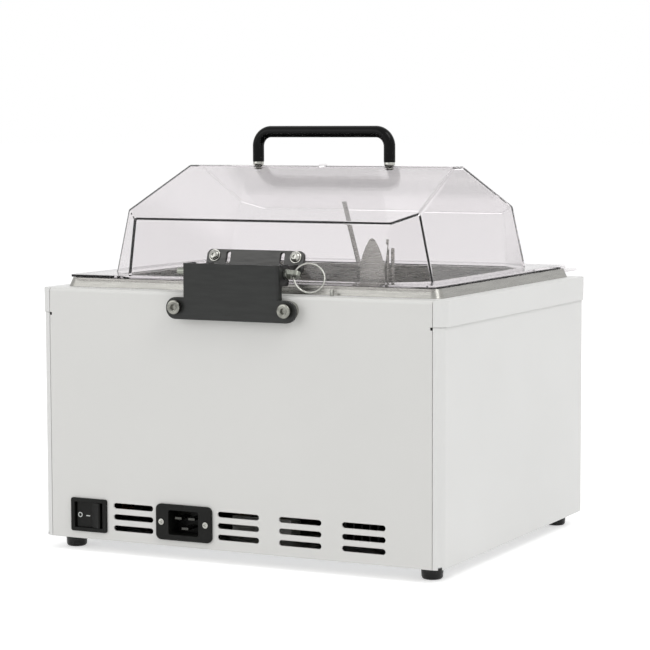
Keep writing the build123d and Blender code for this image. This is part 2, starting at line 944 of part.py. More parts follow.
def bracket_screws():
    """Socket cap screws and the nuts behind the backing plate."""
    pieces = []
    back = rear_y + bracket_proud
    inside = rear_y - sheet - backing_sheet
    nut_length = bracket_nut_height
    for x in bracket_screw_xs():
        under_head = (x, back, bracket_screw_height)
        head = rod(under_head, (0, 1, 0), bracket_head_radius, bracket_head_height)
        head = chamfer(head.edges().sort_by(Axis.Y)[-1], 0.6)
        socket = Plane(
            origin=(x, back + bracket_head_height, bracket_screw_height), z_dir=(0, -1, 0)
        ).location * extrude(hexagon(bracket_socket_radius), bracket_socket_depth)
        shank = rod(under_head, (0, -1, 0), bracket_screw_radius, back - inside + nut_length + 2)
        pieces.append(head - socket + shank)
        nut_place = Plane(origin=(x, inside, bracket_screw_height), z_dir=(0, -1, 0)).location
        nut = nut_place * extrude(hexagon(bracket_nut_radius), nut_length)
        start = (x, inside + 1, bracket_screw_height)
        nut -= rod(start, (0, -1, 0), bracket_screw_radius + hole_gap, nut_length + 2)
        pieces.append(nut)
    return pieces


def lug_outline():
    """Lug seen from the side: an eye round the pin and an arm to the leaf."""
    eye = Vector(at_depth(pin_depth), pin_height)
    foot_low = up_slope(leaf_low + 1.2)
    foot_high = up_slope(flange_top + lug_rise)
    wall = leaf_plane()
    low = wall.from_local_coords((0, foot_low, leaf_sheet / 2))
    high = wall.from_local_coords((0, foot_high, leaf_sheet / 2))
    arm = make_face(Polyline(
        (eye.X, eye.Y - 4.4), (eye.X, eye.Y + lug_eye_radius - 0.4),
        (high.Y, high.Z), (low.Y, low.Z), close=True,
    ))
    return arm + Pos(eye.X, eye.Y) * Circle(lug_eye_radius)


def lid_leaf():
    """Leaf on the dome's rear wall with two lugs that reach back to the release pin."""
    low = up_slope(leaf_low)
    high = up_slope(leaf_top)
    outline = Pos(0, (low + high) / 2) * RectangleRounded(leaf_width, high - low, leaf_corner)
    slot_middle = up_slope(leaf_slot_low) + leaf_slot_length / 2
    slot = SlotOverall(leaf_slot_length, leaf_slot_width, rotation=90)
    for s in (-1, 1):
        outline -= Pos(s * leaf_slot_pitch / 2, slot_middle) * slot
        hole = Circle(leaf_screw_radius + hole_gap)
        outline -= Pos(s * leaf_screw_pitch / 2, up_slope(leaf_screw_height)) * hole
    leaf = leaf_plane().location * extrude(outline, leaf_sheet)
    inner = bracket_width / 2 - bracket_sheet - lug_gap
    for x in (hinge_x - inner, hinge_x + inner - lug_sheet):
        leaf += sideways_prism(lug_outline(), x, lug_sheet)
    eye = (hinge_x - bracket_width / 2, at_depth(pin_depth), pin_height)
    return leaf - rod(eye, (1, 0, 0), pin_radius + running_gap, bracket_width)


def leaf_screws():
    """Button-head screws and washers outside, nuts inside the dome."""
    pieces = []
    for x in leaf_screw_offsets():
        washer = leaf_rod(x, leaf_screw_height, leaf_washer_radius, leaf_sheet, leaf_washer_sheet)
        washer -= leaf_rod(x, leaf_screw_height, leaf_screw_radius + hole_gap, leaf_sheet - 1, 3)
        seat = leaf_sheet + leaf_washer_sheet
        head = leaf_rod(x, leaf_screw_height, leaf_head_radius, seat, leaf_head_height)
        crown = head.edges().sort_by(Axis.Y)[-1]
        head = fillet(crown, leaf_head_round)
        socket_floor = seat + leaf_head_height - leaf_socket_depth
        socket = leaf_plane().location * Pos(x, up_slope(leaf_screw_height), socket_floor)
        head -= socket * extrude(hexagon(leaf_socket_radius), leaf_socket_depth + 1)
        start = -dome_wall - leaf_nut_height - leaf_screw_end
        shank = leaf_rod(x, leaf_screw_height, leaf_screw_radius, start, seat - start)
        nut_low = -dome_wall - leaf_nut_height
        nut_place = leaf_plane().location * Pos(x, up_slope(leaf_screw_height), nut_low)
        nut = nut_place * extrude(hexagon(leaf_nut_radius), leaf_nut_height)
        hole = leaf_screw_radius + hole_gap
        nut -= leaf_rod(x, leaf_screw_height, hole, nut_low - 1, leaf_nut_height + 2)
        pieces += [washer, head + shank, nut]
    return pieces


def pin_axis_point(offset):
    """A point on the release pin's axis, offset from the hinge's centre."""
    return (hinge_x + offset, at_depth(pin_depth), pin_height)


def ring_axis():
    """Direction of the cross hole, leaning towards the lid."""
    lean = math.radians(pin_head_lean)
    return Vector(0, -math.sin(lean), math.cos(lean))


def release_pin():
    """Plain pin with a collar and a flat head, cross drilled for the pull ring."""
    face = bracket_width / 2 + fit_gap
    shank = rod(pin_axis_point(-face), (1, 0, 0), pin_radius, pin_tip + face)
    shank = chamfer(shank.edges().sort_by(Axis.X)[-1], 0.8)
    head_start = face + pin_collar_length
    collar = rod(pin_axis_point(-head_start), (1, 0, 0), pin_collar_radius, pin_collar_length)
    outline = SlotOverall(2 * pin_head_length, 2 * pin_collar_radius)
    tab = extrude(outline, pin_head_thickness / 2, both=True)
    tab = tab & Pos(-pin_head_length, 0, 0) * Box(2 * pin_head_length, 20, 20)
    place = Plane(origin=pin_axis_point(-head_start), x_dir=(1, 0, 0), z_dir=ring_axis()).location
    head = place * tab
    hole = ring_hole_point() - ring_axis() * 10
    return shank + collar + head - rod(hole, ring_axis(), ring_hole_radius, 20)


def ring_hole_point():
    return Vector(*pin_axis_point(-bracket_width / 2 - ring_hole_reach))


def pin_ring():
    """Round wire ring through the head's cross hole."""
    axis = ring_axis()
    turn = math.radians(ring_turn)
    across = axis.cross(Vector(-1, 0, 0)).normalized()
    if across.Y > 0:
        across = across * -1
    reach = Vector(-1, 0, 0) * math.cos(turn) + across * math.sin(turn)
    centre = ring_hole_point() + reach * ring_radius
    plane = Plane(origin=centre, x_dir=reach, z_dir=reach.cross(axis))
    return plane.location * Torus(ring_radius, ring_wire)


def deck_peg():
    y = at_depth(peg_depth)
    peg = upright(peg_x, y, deck_top, deck_top + peg_height, peg_radius)
    peg = fillet(peg.edges().sort_by(Axis.Z)[-1], 0.8)
    return peg + upright(peg_x, y, deck_low - 4, deck_top, peg_stem_radius)


def power_switch_body():
    """Bezel and snap-in housing with a deep window for the rocker."""
    bezel = Pos(switch_x, switch_z) * RectangleRounded(switch_width, switch_height, 2.0)
    body = forward_prism(bezel, rear_y + switch_bezel, switch_bezel)
    body = chamfer(body.faces().sort_by(Axis.Y)[-1].edges(), 0.4)
    housing = Pos(switch_x, switch_z) * Rectangle(switch_body_width, switch_body_height)
    body += forward_prism(housing, rear_y, switch_body_depth)
    window = Pos(switch_x, switch_z) * Rectangle(
        rocker_width + 2 * rocker_gap, rocker_height + 2 * fit_gap
    )
    body -= forward_prism(window, rear_y + switch_bezel + 1, switch_bezel + 1 + 15)
    end = switch_body_depth + switch_tab_length
    for x in (-switch_tab_pitch, 0, switch_tab_pitch):
        body += block(
            switch_x + x - switch_tab_width / 2, switch_x + x + switch_tab_width / 2,
            at_depth(end), at_depth(switch_body_depth), switch_z - 0.4, switch_z + 0.4,
        )
    pivot = (switch_x, at_depth(rocker_pivot_depth), switch_z - rocker_height / 2 - 1.5)
    return body - rod(pivot, (0, 0, 1), 2 + running_gap, rocker_height + 3)


def power_rocker():
    """Rocker whose two flats meet in a shallow valley, with the wide flat pressed in at rest."""
    half = rocker_width / 2 - rocker_relief
    valley = -rocker_valley_offset
    slope = math.tan(math.radians(rocker_tilt))
    wide_end = rocker_valley_reach + (half - valley) * slope
    short_end = rocker_valley_reach + (half + valley) * slope
    back = -3.0
    line = Polyline(
        (-half, short_end - 1.0), (-half + 1, short_end - 0.1), (valley, rocker_valley_reach),
        (half - 1, wide_end - 0.1), (half, wide_end - 1.0), (half, 2),
        (rocker_root_radius, back), (-rocker_root_radius, back), (-half, 2), close=True,
    )
    prism = Pos(0, 0, -rocker_height / 2) * extrude(make_face(line), rocker_height)
    trunnion = Pos(0, 0, -rocker_height / 2 - 1.2) * Cylinder(
        2, rocker_height + 2.4, align=(Align.CENTER, Align.CENTER, Align.MIN)
    )
    place = Pos(switch_x, at_depth(rocker_pivot_depth), switch_z) * Rot(0, 0, -rocker_tilt)
    return place * (prism + trunnion)


def mains_inlet():
    flange = Pos(inlet_x, inlet_z) * RectangleRounded(inlet_width, inlet_height, inlet_corner)
    body = forward_prism(flange, rear_y + inlet_flange, inlet_flange)
    body = chamfer(body.faces().sort_by(Axis.Y)[-1].edges(), 0.6)
    wide = inlet_cavity_width + 2 * inlet_body_wall
    high = inlet_cavity_height + 2 * inlet_body_wall
    tub = Pos(inlet_x, inlet_z) * Rectangle(wide, high)
    body += forward_prism(tub, rear_y, inlet_body_depth)
    cavity = Pos(inlet_x, inlet_z) * RectangleRounded(
        inlet_cavity_width, inlet_cavity_height, inlet_cavity_corner
    )
    body -= forward_prism(cavity, rear_y + inlet_flange + 1, inlet_cavity_depth + inlet_flange + 1)
    for s in (-1, 1):
        x = inlet_x + s * inlet_screw_pitch / 2
        start = (x, rear_y + inlet_flange + 1, inlet_z)
        body -= rod(start, (0, -1, 0), inlet_screw_radius + hole_gap, inlet_flange + 2)
        body -= rod(start, (0, -1, 0), inlet_screw_head + fit_gap, 2.2)
    for x, z in inlet_pin_places():
        body -= inlet_blade(x, z, hole_gap / 5)
    return body


def inlet_pin_places():
    side = inlet_pin_pitch / 2
    return [
        (inlet_x + side, inlet_z + inlet_pin_rise), (inlet_x - side, inlet_z + inlet_pin_rise),
        (inlet_x, inlet_z - inlet_earth_drop),
    ]


def inlet_blade(x, z, grow):
    """A level blade from just inside the mouth through the back of the body."""
    wide = inlet_pin_width / 2 + grow
    high = inlet_pin_thickness / 2 + grow
    rear = at_depth(inlet_pin_recess - inlet_flange)
    return block(
        x - wide, x + wide, at_depth(inlet_body_depth + inlet_tab_length), rear, z - high, z + high
    )


def inlet_pins():
    return [inlet_blade(x, z, 0) for x, z in inlet_pin_places()]


def inlet_screws():
    pieces = []
    for s in (-1, 1):
        x = inlet_x + s * inlet_screw_pitch / 2
        seat = rear_y + inlet_flange - 1.2
        head = rod((x, seat, inlet_z), (0, 1, 0), inlet_screw_head, 1.6)
        head -= block(x - 1.7, x + 1.7, seat + 0.8, seat + 2, inlet_z - 0.35, inlet_z + 0.35)
        head -= block(x - 0.35, x + 0.35, seat + 0.8, seat + 2, inlet_z - 1.7, inlet_z + 1.7)
        shank = rod((x, seat, inlet_z), (0, -1, 0), inlet_screw_radius, 9)
        nut_place = Plane(origin=(x, rear_y - sheet, inlet_z), z_dir=(0, -1, 0)).location
        nut = nut_place * extrude(hexagon(3.4), 2.4)
        nut -= rod((x, rear_y, inlet_z), (0, -1, 0), inlet_screw_radius + hole_gap, 6)
        pieces += [head + shank, nut]
    return pieces


def boss_places():
    return [
        (sx * boss_pitch_x / 2, fascia_z + sz * boss_pitch_z / 2) for sx in (-1, 1) for sz in (-1, 1)
    ]


def key_xs():
    return [key_first_x + i * key_pitch for i in range(len(key_names))]


def board_rear():
    """Y of the control board's front-facing side."""
    return front_y + board_depth_from_front


def control_fascia():
    outer = front_y - fascia_proud
    outline = Pos(0, fascia_z) * RectangleRounded(fascia_width, fascia_height, fascia_corner)
    body = forward_prism(outline, front_y, fascia_proud)
    body = chamfer(body.faces().sort_by(Axis.Y)[0].edges(), 1.0)
    for x, z in boss_places():
        body += rod((x, front_y, z), (0, 1, 0), boss_radius, board_depth_from_front)
    window = Pos(lens_x, fascia_z) * Rectangle(lens_width - 6, lens_height - 6)
    body -= forward_prism(window, front_y + 1, fascia_proud + 2)
    recess = Pos(lens_x, fascia_z) * RectangleRounded(lens_width + hole_gap, lens_height + hole_gap, 2)
    body -= forward_prism(recess, outer + lens_thickness, lens_thickness + 1)
    for x in key_xs():
        body -= rod((x, front_y + 1, fascia_z), (0, -1, 0), key_radius + fit_gap, fascia_proud + 2)
    return body


def display_lens():
    outline = Pos(lens_x, fascia_z) * RectangleRounded(lens_width, lens_height, 2)
    return forward_prism(outline, front_y - fascia_proud + lens_thickness, lens_thickness)


def display_module():
    outline = Pos(lens_x, fascia_z) * Rectangle(lens_width, lens_height)
    return forward_prism(outline, board_rear(), module_thickness)


def control_board():
    """Circuit board on the fascia's bosses, with a small switch under each key."""
    wide = boss_pitch_x + 2 * (boss_radius + board_margin)
    high = boss_pitch_z + 2 * (boss_radius + board_margin)
    outline = Pos(0, fascia_z) * Rectangle(wide, high)
    board = forward_prism(outline, board_rear() + board_thickness, board_thickness)
    pieces = [board]
    for x in key_xs():
        tact = Pos(x, fascia_z) * Rectangle(tact_size, tact_size)
        pieces.append(forward_prism(tact, board_rear(), tact_height))
    return pieces


def key(index):
    """Round key: cap through the fascia, flange behind it, stem towards its switch."""
    x = key_xs()[index]
    cap_front = front_y - key_proud
    behind = front_y + fit_gap
    cap = rod((x, cap_front, fascia_z), (0, 1, 0), key_radius, key_proud + fit_gap)
    cap = fillet(cap.edges().sort_by(Axis.Y)[0], 0.8)
    flange = rod((x, behind, fascia_z), (0, 1, 0), key_radius + key_flange_extra, key_flange)
    stem_end = board_rear() - tact_height - key_travel - fit_gap
    stem = rod((x, behind, fascia_z), (0, 1, 0), key_stem_radius, stem_end - behind)
    return cap + flange + stem


def motor_bracket():
    """Bent plate that holds the stirrer motor above the base pan."""
    y = at_depth(tank_centre_depth)
    half = motor_plate_size / 2
    bracket = block(
        stir_x - half, stir_x + half, y - half, y + half, motor_top, motor_top + motor_plate
    )
    bracket -= upright(stir_x, y, motor_top - 1, motor_top + motor_plate + 1, shaft_boss_hole)
    for s in (-1, 1):
        inner = stir_x + s * (half - motor_plate)
        outer = stir_x + s * half
        bracket += block(inner, outer, y - half, y + half, pan_top, motor_top)
        toe = stir_x + s * (half + motor_foot)
        bracket += block(inner, toe, y - half, y + half, pan_top, pan_top + motor_plate)
    return bracket


def stirrer_motor():
    y = at_depth(tank_centre_depth)
    body = upright(stir_x, y, motor_top - motor_height, motor_top, motor_radius)
    body = fillet(body.edges().sort_by(Axis.Z)[0], 2)
    body += upright(stir_x, y, motor_top, motor_top + motor_plate + 1.5, shaft_boss_hole - fit_gap)
    low = motor_top - motor_height + motor_low_gap
    return body - upright(stir_x, y, low, motor_top + 10, shaft_radius + running_gap)


def hub_low():
    return tank_underside - hub_top_gap - hub_height


def motor_shaft():
    y = at_depth(tank_centre_depth)
    low = motor_top - motor_height + motor_low_gap + 2
    return upright(stir_x, y, low, hub_low() + hub_height - 2, shaft_radius)


def drive_hub():
    """Magnet carrier that turns just under the tank's floor."""
    y = at_depth(tank_centre_depth)
    hub = upright(stir_x, y, hub_low(), hub_low() + hub_height, hub_radius)
    collar_low = hub_low() - 4
    hub += upright(stir_x, y, collar_low, hub_low(), 7)
    hub -= upright(stir_x, y, collar_low - 1, hub_low() + hub_height - 2, shaft_radius + hole_gap / 5)
    return hub - drive_magnets()


def drive_magnets():
    """Four magnets let into the hub's face."""
    y = at_depth(tank_centre_depth)
    top = hub_low() + hub_height
    return [
        upright(
            stir_x + magnet_circle * math.cos(i * math.pi / 2),
            y + magnet_circle * math.sin(i * math.pi / 2), top - 4, top, magnet_radius,
        )
        for i in range(4)
    ]


def impeller_spindle():
    y = at_depth(tank_centre_depth)
    post = upright(stir_x, y, tank_floor, tank_floor + spindle_height, spindle_radius)
    post += upright(stir_x, y, tank_floor, tank_floor + 0.7, spindle_radius + 3)
    low = tank_floor + 1 + impeller_height + fit_gap
    clip = upright(stir_x, y, low, low + clip_height, clip_radius)
    clip -= upright(stir_x, y, low - 1, low + clip_height + 1, spindle_radius + hole_gap / 5)
    return [post, clip]


def impeller():
    """Stirring rotor: a magnet disc with upright blades, free on the spindle."""
    y = at_depth(tank_centre_depth)
    low = tank_floor + 1
    top = low + impeller_height
    rotor = upright(stir_x, y, low, low + impeller_disc, impeller_radius - 1)
    rotor += upright(stir_x, y, low, top, impeller_hub)
    for i in range(blade_count):
        blade = block(2, impeller_radius, -blade_thickness / 2, blade_thickness / 2, 0, impeller_height - 2)
        rotor += Pos(stir_x, y, low) * Rot(0, 0, i * 360 / blade_count) * blade
    return rotor - upright(stir_x, y, low - 1, top + 1, spindle_radius + running_gap)


def impeller_guard():
    """Slotted cup that keeps samples off the rotor."""
    y = at_depth(tank_centre_depth)
    top = tank_floor + guard_height
    cup = upright(stir_x, y, tank_floor, top, guard_radius)
    cup -= upright(stir_x, y, tank_floor - 1, top - guard_wall, guard_radius - guard_wall)
    cup -= upright(stir_x, y, top - 3, top + 1, guard_mouth)
    for i in range(guard_slots):
        slot = block(guard_radius - 4, guard_radius + 2, -4, 4, tank_floor + 5, top - 6)
        cup -= Pos(stir_x, y, 0) * Rot(0, 0, (i + 0.5) * 360 / guard_slots) * slot
    return cup


def heater_element():
    z = heater_z()
    left, right = heater_xs()
    tail = at_depth(heater_tail_depth)
    front = at_depth(heater_front_depth)
    bend = heater_span / 2 - 1
    path = FilletPolyline(
        (left, tail, z), (left, front, z), (right, front, z), (right, tail, z), radius=bend
    )
    return sweep(Plane(origin=(left, tail, z), z_dir=(0, -1, 0)) * Circle(heater_radius), path)


def heater_glands():
    """Bulkhead glands: flange inside the tank, nut outside."""
    pieces = []
    z = heater_z()
    wall = tank_rear_wall
    for x in heater_xs():
        start = wall - tank_sheet - gland_tail
        gland = rod((x, at_depth(start), z), (0, -1, 0), gland_radius, gland_tail + tank_sheet)
        gland += rod((x, at_depth(wall), z), (0, -1, 0), gland_flange_radius, gland_flange)
        bore = gland_tail + tank_sheet + gland_flange + 2
        gland -= rod((x, at_depth(start - 1), z), (0, -1, 0), heater_radius + hole_gap, bore)
        nut_place = Plane(origin=(x, at_depth(wall - tank_sheet), z), z_dir=(0, 1, 0)).location
        nut = nut_place * extrude(hexagon(gland_nut_radius), gland_nut)
        nut -= rod((x, at_depth(start - 1), z), (0, -1, 0), gland_radius + hole_gap, bore)
        pieces += [gland, nut]
    return pieces


def base_shelf():
    """Perforated shelf on four legs above the heater and the rotor."""
    side = tank_width / 2 - shelf_edge_gap
    half = tank_length / 2 - shelf_edge_gap
    middle = at_depth(tank_centre_depth)
    shelf = rounded(
        -side, side, middle - half, middle + half, shelf_level, shelf_level + shelf_sheet, shelf_corner
    )
    step_x = 2 * side / shelf_columns
    step_y = 2 * half / shelf_rows
    for i in range(shelf_columns):
        for j in range(shelf_rows):
            x = (i - (shelf_columns - 1) / 2) * step_x
            y = middle + (j - (shelf_rows - 1) / 2) * step_y
            shelf -= upright(x, y, shelf_level - 1, shelf_level + shelf_sheet + 1, shelf_hole_radius)
    for sx in (-1, 1):
        for sy in (-1, 1):
            x = sx * (side - shelf_leg_inset)
            y = middle + sy * (half - shelf_leg_inset)
            shelf += upright(x, y, tank_floor, shelf_level, shelf_leg_radius)
    return shelf


def shelf_lifter():
    """Bent strip that stands on the shelf, to lift it out by."""
    y = at_depth(tank_centre_depth)
    low = shelf_level + shelf_sheet
    bend = rim_top + lifter_bend_rise
    knee = bend + lifter_knee_rise
    top = rim_top + lifter_top_rise
    left = lifter_x - lifter_sheet / 2
    right = lifter_x + lifter_sheet / 2
    line = Polyline(
        (left, low), (left, bend), (left + lifter_knee_lean, knee), (left + lifter_top_lean, top),
        (right + lifter_top_lean, top), (right + lifter_knee_lean, knee), (right, bend), (right, low),
        close=True,
    )
    half = lifter_width / 2
    strip = forward_prism(make_face(line), y + half, lifter_width)
    return strip + block(left, left + lifter_foot, y - half, y + half, low, low + lifter_sheet)


def group_bracket():
    """Angle on the tank's rear wall that carries the probes, their guard and the float's stem."""
    wall = tank_rear_wall
    left = tank_wall_x + group_near
    right = tank_wall_x + group_far
    low = group_plate_top - group_sheet
    flat = tank_wall_x + tank_corner + 1
    front = at_depth(group_depth + 9)
    shelf = block(flat, right, front, at_depth(wall), low, group_plate_top)
    shelf += block(left, flat, front, at_depth(wall + group_wing_gap), low, group_plate_top)
    shelf += block(
        flat, right, at_depth(wall + group_sheet), at_depth(wall),
        group_plate_top - group_tab_drop, group_plate_top,
    )
    y = at_depth(group_depth)
    for x, radius in ((probe_x, probe_radius), (limit_x, limit_radius), (float_x, float_stem_radius)):
        shelf -= upright(x, y, low - 1, group_plate_top + 1, radius + hole_gap / 5)
    return shelf


def temperature_probe():
    low = tank_floor + probe_floor_gap
    probe = upright(probe_x, at_depth(group_depth), low, rim_top + probe_rise, probe_radius)
    return fillet(probe.edges().sort_by(Axis.Z)[0], probe_radius * 0.8)


def limit_probe():
    low = tank_floor + limit_floor_gap
    probe = upright(limit_x, at_depth(group_depth), low, rim_top + limit_rise, limit_radius)
    return fillet(probe.edges().sort_by(Axis.Z)[-1], limit_radius * 0.8)


def probe_guard():
    """Tongue-shaped plate that stands on the bracket beside the probes."""
    x = guard_plate_x
    half = guard_plate_half
    tip = 2.6
    shoulder = rim_top + guard_plate_shoulder_rise
    top = rim_top + guard_plate_rise
    middle = (shoulder + top) / 2
    side = half * 0.72
    base = Line((x - half, group_plate_top), (x + half, group_plate_top))
    right = Line((x + half, group_plate_top), (x + half, shoulder))
    right_arc = ThreePointArc((x + half, shoulder), (x + side, middle + 2), (x + tip, top - 1.5))
    tip_arc = ThreePointArc((x + tip, top - 1.5), (x, top), (x - tip, top - 1.5))
    left_arc = ThreePointArc((x - tip, top - 1.5), (x - side, middle + 2), (x - half, shoulder))
    left = Line((x - half, shoulder), (x - half, group_plate_top))
    outline = make_face([base, right, right_arc, tip_arc, left_arc, left])
    return forward_prism(outline, at_depth(group_depth - guard_plate_sheet / 2), guard_plate_sheet)


def float_stem():
    """Stem of the level switch with a stop ring below the float."""
    x = float_x
    y = at_depth(group_depth)
    stem = upright(x, y, group_plate_top - float_stem_drop, group_plate_top + 5, float_stem_radius)
    low = float_rest - fit_gap - 2
    ring = upright(x, y, low, low + 2, float_stem_radius + 3)
    high = float_rest + float_height + float_travel + fit_gap
    return stem + ring + upright(x, y, high, high + 1.5, float_stem_radius + 3)


def level_float():
    x = float_x
    y = at_depth(group_depth)
    body = upright(x, y, float_rest, float_rest + float_height, float_radius)
    body = fillet(body.edges(), 3)
    top = float_rest + float_height
    return body - upright(x, y, float_rest - 1, top + 1, float_stem_radius + running_gap)


def heat_sink():
    y = at_depth(relay_depth)
    half = relay_length / 2
    wide = relay_width / 2
    top = pan_top + sink_height
    sink = block(relay_x - half, relay_x + half, y - wide, y + wide, top - sink_base, top)
    pitch = (relay_length - sink_fin) / (sink_fins - 1)
    for i in range(sink_fins):
        x = relay_x - half + i * pitch
        sink += block(x, x + sink_fin, y - wide, y + wide, pan_top, top)
    return sink


def power_relay():
    y = at_depth(relay_depth)
    low = pan_top + sink_height
    return rounded(
        relay_x - relay_length / 2, relay_x + relay_length / 2,
        y - relay_width / 2, y + relay_width / 2, low, low + relay_height, 3,
    )


def terminal_xs():
    slot = terminal_length / terminal_ways
    return [terminal_x - terminal_length / 2 + (i + 0.5) * slot for i in range(terminal_ways)]


def terminal_block():
    y = at_depth(terminal_depth)
    half = terminal_length / 2
    wide = terminal_width / 2
    top = pan_top + terminal_height
    body = block(terminal_x - half, terminal_x + half, y - wide, y + wide, pan_top, top)
    for x in terminal_xs():
        body -= upright(x, y, top - terminal_hole_depth, top + 1, terminal_hole_radius)
    return body


def earth_stud():
    y = at_depth(earth_depth)
    stud = upright(earth_x, y, pan_top, pan_top + earth_height, earth_radius)
    stud += upright(earth_x, y, pan_top, pan_top + 1, earth_radius + 3)
    nut = Pos(earth_x, y, pan_top + 5) * extrude(hexagon(4.6), 4)
    nut -= upright(earth_x, y, pan_top, pan_top + 12, earth_radius + hole_gap)
    return [stud, nut]


def wire(points):
    """A round insulated lead along straight runs joined by equal bends."""
    path = FilletPolyline(*points, radius=wire_bend)
    first = Vector(*points[0])
    direction = Vector(*points[1]) - first
    return sweep(Plane(origin=first, z_dir=direction) * Circle(wire_radius), path)


def wiring_harness():
    """Leads from the inlet's tabs and the switch's tabs to the terminal block."""
    y_block = at_depth(terminal_depth)
    low = pan_top + terminal_height - terminal_hole_depth + hole_gap
    entries = terminal_xs()
    starts = [(x, at_depth(inlet_body_depth + inlet_tab_length), z) for x, z in inlet_pin_places()]
    switch_tab = at_depth(switch_body_depth + switch_tab_length)
    starts += [(switch_x + dx, switch_tab, switch_z) for dx in (-switch_tab_pitch, 0)]
    leads = []
    for i, start in enumerate(starts):
        x, y, z = start
        entry = entries[len(entries) - 1 - i]
        level = wire_level + i * wire_step
        turn = at_depth(wire_turn_depth + i * wire_step)
        leads.append(wire([
            start, (x, turn, z), (x, turn, level), (entry, turn, level), (entry, y_block, level),
            (entry, y_block, low),
        ]))
    return leads


def write(name, shape):
    solids = shape if isinstance(shape, list) else [shape]
    parts = []
    for item in solids:
        parts.extend(Pos(0, 0, foot_height) * solid for solid in item.solids())
    piece = parts[0] if len(parts) == 1 else Compound(children=parts)
    piece.label = name
    export_step(piece, "parts/" + name + ".step")


os.makedirs("parts", exist_ok=True)
write("base_pan", base_pan())
write("case_wrap", case_wrap())
write("rear_panel", rear_panel())
write("top_deck", top_deck())
write("feet", feet())
write("foot_screws", foot_screws())
write("tank", tank())
write("tank_insulation", tank_insulation())
write("heater_element", heater_element())
write("heater_glands", heater_glands())
write("motor_bracket", motor_bracket())
write("stirrer_motor", stirrer_motor())
write("motor_shaft", motor_shaft())
write("drive_hub", drive_hub())
write("drive_magnets", drive_magnets())
write("impeller_spindle", impeller_spindle())
write("impeller", impeller())
write("impeller_guard", impeller_guard())
write("base_shelf", base_shelf())
write("shelf_lifter", shelf_lifter())
write("group_bracket", group_bracket())
write("temperature_probe", temperature_probe())
write("limit_probe", limit_probe())
write("probe_guard", probe_guard())
write("float_stem", float_stem())
write("level_float", level_float())
write("control_fascia", control_fascia())
write("display_lens", display_lens())
write("display_module", display_module())
write("control_board", control_board())
for number, key_name in enumerate(key_names):
    write("key_" + key_name, key(number))
write("power_switch_body", power_switch_body())
write("power_rocker", power_rocker())
write("mains_inlet", mains_inlet())
write("inlet_pins", inlet_pins())
write("inlet_screws", inlet_screws())
write("heat_sink", heat_sink())
write("power_relay", power_relay())
write("terminal_block", terminal_block())
write("earth_stud", earth_stud())
write("wiring_harness", wiring_harness())
write("hinge_bracket", hinge_bracket())
write("bracket_spacers", bracket_spacers())
write("backing_plate", backing_plate())
write("bracket_screws", bracket_screws())
write("lid_leaf", lid_leaf())
write("leaf_screws", leaf_screws())
write("release_pin", release_pin())
write("pin_ring", pin_ring())
write("deck_peg", deck_peg())
write("lid_seal", lid_seal())
write("lid_shell", lid_shell())
write("lid_handle", lid_handle())
write("handle_ferrules", handle_ferrules())
write("handle_screws", handle_screws())
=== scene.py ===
"""Looks of the circulating water bath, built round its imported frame. Sizes in mm unless said."""

import json
import math

import bmesh
import bpy
from mathutils import Matrix, Vector


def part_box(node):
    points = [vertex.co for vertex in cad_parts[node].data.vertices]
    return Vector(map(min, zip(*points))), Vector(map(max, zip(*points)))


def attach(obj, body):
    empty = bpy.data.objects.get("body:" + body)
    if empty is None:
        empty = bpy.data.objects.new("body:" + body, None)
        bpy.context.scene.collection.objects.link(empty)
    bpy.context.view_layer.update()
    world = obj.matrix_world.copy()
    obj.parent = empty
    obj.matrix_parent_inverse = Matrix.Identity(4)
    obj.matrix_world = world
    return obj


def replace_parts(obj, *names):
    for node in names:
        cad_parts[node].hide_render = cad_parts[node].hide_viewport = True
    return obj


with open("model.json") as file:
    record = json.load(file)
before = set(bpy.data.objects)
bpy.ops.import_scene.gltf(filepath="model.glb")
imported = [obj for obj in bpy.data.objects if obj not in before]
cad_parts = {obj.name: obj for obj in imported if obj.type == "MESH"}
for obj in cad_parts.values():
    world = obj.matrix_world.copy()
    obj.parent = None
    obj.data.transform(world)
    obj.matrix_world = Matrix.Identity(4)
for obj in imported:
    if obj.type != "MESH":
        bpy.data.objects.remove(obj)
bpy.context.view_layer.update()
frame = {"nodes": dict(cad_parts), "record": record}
nodes = frame["nodes"]

# Places from the frame

MM = 0.001
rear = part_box("rear_panel")[1].y / MM
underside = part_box("case_wrap")[0].z / MM

# Driving dimensions, as in the solids. The handle's bar is 0.02 lower, to keep inside their box

case_width = 395.0
case_depth = 339.0
case_height = 226.0
foot_inset_x = 19.3
foot_inset_depth = 24.0

flange_rise = 11.2
dome_height = 96.6
dome_wall = 3.0
dome_rear_depth = 34.0
ridge_depth = 174.6
rear_wall_slope = 0.3016

hinge_x = -2.2
bracket_width = 94.2
bracket_proud = 9.5
bracket_screw_reach = 6.9
bracket_screw_drop = 12.0
bracket_nut_depth = 4.5
spacer_length = 6.5
leaf_screw_inset = 6.75
leaf_screw_rise = 18.8

pin_depth = 3.0
pin_rise = 18.5
pin_head_lean = 28.0
ring_hole_reach = 9.1
ring_turn = 30.0
ring_radius = 13.2
ring_wire = 0.8

handle_pitch = 136.0
handle_radius = 5.4
handle_bar_rise = 31.28
handle_bend = 13.6
ferrule_height = 3.4
handle_head_drop = 5.4

peg_x = -87.5
peg_depth = 16.6
peg_stem_length = 5.5

key_first_x = 16.0
key_pitch = 17.0
key_height = 140.0
key_proud = 4.5

# Places worked out from them

